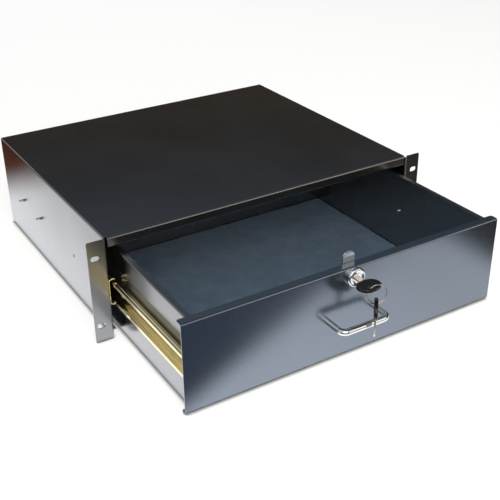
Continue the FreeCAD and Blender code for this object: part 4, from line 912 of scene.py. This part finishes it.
class RACKDRAWER_OT_screws(bpy.types.Operator):
    """Cuts the slide screws, the handle screws and the cam screw, with heads and threads"""
    bl_idname = "rack_drawer.screws"
    bl_label = "Screws"

    # head radius, heights of the heads, and outer radius of the handle screws' thread
    HEAD = 0.0036
    HEAD_TALL, CASING_HEAD_TALL, CAM_HEAD_TALL = 0.0022, 0.0010, 0.0024
    HANDLE_SCREW = 0.00165

    def execute(self, context):
        colours, sizes = context.scene.rack_drawer_colours, context.scene.rack_drawer_sizes
        zinc = bright_zinc(colours)
        self.slide_screws(zinc, sizes)
        ahead = (0.0, 1.0, 0.0)
        # the cam's screw, its head towards the back of the drawer
        centre, half = middle("cam_screw")
        grid = pan_screw(half[0], self.CAM_HEAD_TALL, sizes.screw_radius,
                         2 * half[1] - self.CAM_HEAD_TALL, sizes.screw_thread)
        seat = (centre[0], centre[1] + half[1] - self.CAM_HEAD_TALL, centre[2])
        self.finish("cam_screw", "lock_core", [placed(grid, seat, (1, 0, 0), (0, 0, -1), ahead)],
                    zinc)
        # a screw from behind the drawer front into each leg of the handle
        low, high = corners("handle_screws")
        grid = pan_screw(self.HEAD, self.HEAD_TALL, self.HANDLE_SCREW,
                         high[1] - low[1] - self.HEAD_TALL, sizes.screw_thread)
        seats = [(x, high[1] - self.HEAD_TALL, (low[2] + high[2]) / 2)
                 for x in (low[0] + self.HEAD, high[0] - self.HEAD)]
        self.finish("handle_screws", "drawer",
                    [placed(grid, seat, (1, 0, 0), (0, 0, -1), ahead) for seat in seats], zinc)
        return {"FINISHED"}

    def slide_screws(self, zinc, sizes):
        """The screws that hold the slides' outer members to the casing and the inner members to
        the tray. Their heads point into the slide: the casing's inwards, the tray's outwards."""
        ahead = np.array([0.0, 1.0, 0.0])
        for side, sign in (("left", -1), ("right", 1)):
            for name, body, facing, tall in (
                    ("casing_screws_", "casing", -1, self.CASING_HEAD_TALL),
                    ("tray_screws_", "drawer", 1, self.HEAD_TALL)):
                node = name + side
                low, high = corners(node)
                outward = np.array([sign * facing, 0.0, 0.0])
                top = high[0] if outward[0] > 0 else low[0]
                grid = pan_screw(self.HEAD, tall, sizes.screw_radius, high[0] - low[0] - tall,
                                 sizes.screw_thread)
                self.finish(node, body, [
                    placed(grid, (top - outward[0] * tall, y, (low[2] + high[2]) / 2),
                           ahead, np.cross(outward, ahead), outward)
                    for y in self.places(node, low[1] + self.HEAD, high[1] - self.HEAD)], zinc)

    @staticmethod
    def places(node, first, last, apart=0.006):
        """Where the screws stand along the drawer: the first, the last, and the middle of the
        points of the model's node that belong to neither."""
        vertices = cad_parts[node].data.vertices
        points = np.empty(len(vertices) * 3, np.float32)
        vertices.foreach_get("co", points)
        along = points.reshape(-1, 3)[:, 1]
        between = along[(along > first + apart) & (along < last - apart)]
        return first, (between.min() + between.max()) / 2, last

    @staticmethod
    def finish(node, body, grids, zinc):
        """Makes the screws of one model node and lets them take its place."""
        piece = surface(node + "_threaded", grids, zinc, sharp=40.0)
        stand_in(piece, body, node)


class RACKDRAWER_PT_panel(bpy.types.Panel):
    """Sizes, colours and one button for each group of pieces"""
    bl_idname = "RACKDRAWER_PT_panel"
    bl_label = "Rack drawer"
    bl_space_type = "VIEW_3D"
    bl_region_type = "UI"
    bl_category = "Rack drawer"

    def draw(self, context):
        for made in OPERATORS:
            self.layout.operator(made.bl_idname)
        for title, group in (("Sizes", context.scene.rack_drawer_sizes),
                             ("Colours", context.scene.rack_drawer_colours)):
            box = self.layout.box()
            box.label(text=title)
            for name in group.__annotations__:
                box.prop(group, name)


OPERATORS = (RACKDRAWER_OT_stage, RACKDRAWER_OT_sheet_metal, RACKDRAWER_OT_mat,
             RACKDRAWER_OT_slides, RACKDRAWER_OT_handle, RACKDRAWER_OT_lock, RACKDRAWER_OT_keys,
             RACKDRAWER_OT_ring, RACKDRAWER_OT_screws)
CLASSES = (DrawerColours, DrawerSizes, *OPERATORS, RACKDRAWER_PT_panel)


def register():
    for made in CLASSES:
        bpy.utils.register_class(made)
    bpy.types.Scene.rack_drawer_colours = bpy.props.PointerProperty(type=DrawerColours)
    bpy.types.Scene.rack_drawer_sizes = bpy.props.PointerProperty(type=DrawerSizes)


def unregister():
    del bpy.types.Scene.rack_drawer_sizes
    del bpy.types.Scene.rack_drawer_colours
    for made in reversed(CLASSES):
        bpy.utils.unregister_class(made)


def main():
    register()
    bpy.ops.rack_drawer.stage()
    bpy.ops.rack_drawer.sheet_metal()
    bpy.ops.rack_drawer.mat()
    bpy.ops.rack_drawer.slides()
    bpy.ops.rack_drawer.handle()
    bpy.ops.rack_drawer.lock()
    bpy.ops.rack_drawer.keys()
    bpy.ops.rack_drawer.ring()
    bpy.ops.rack_drawer.screws()


if __name__ == "__main__":
    main()
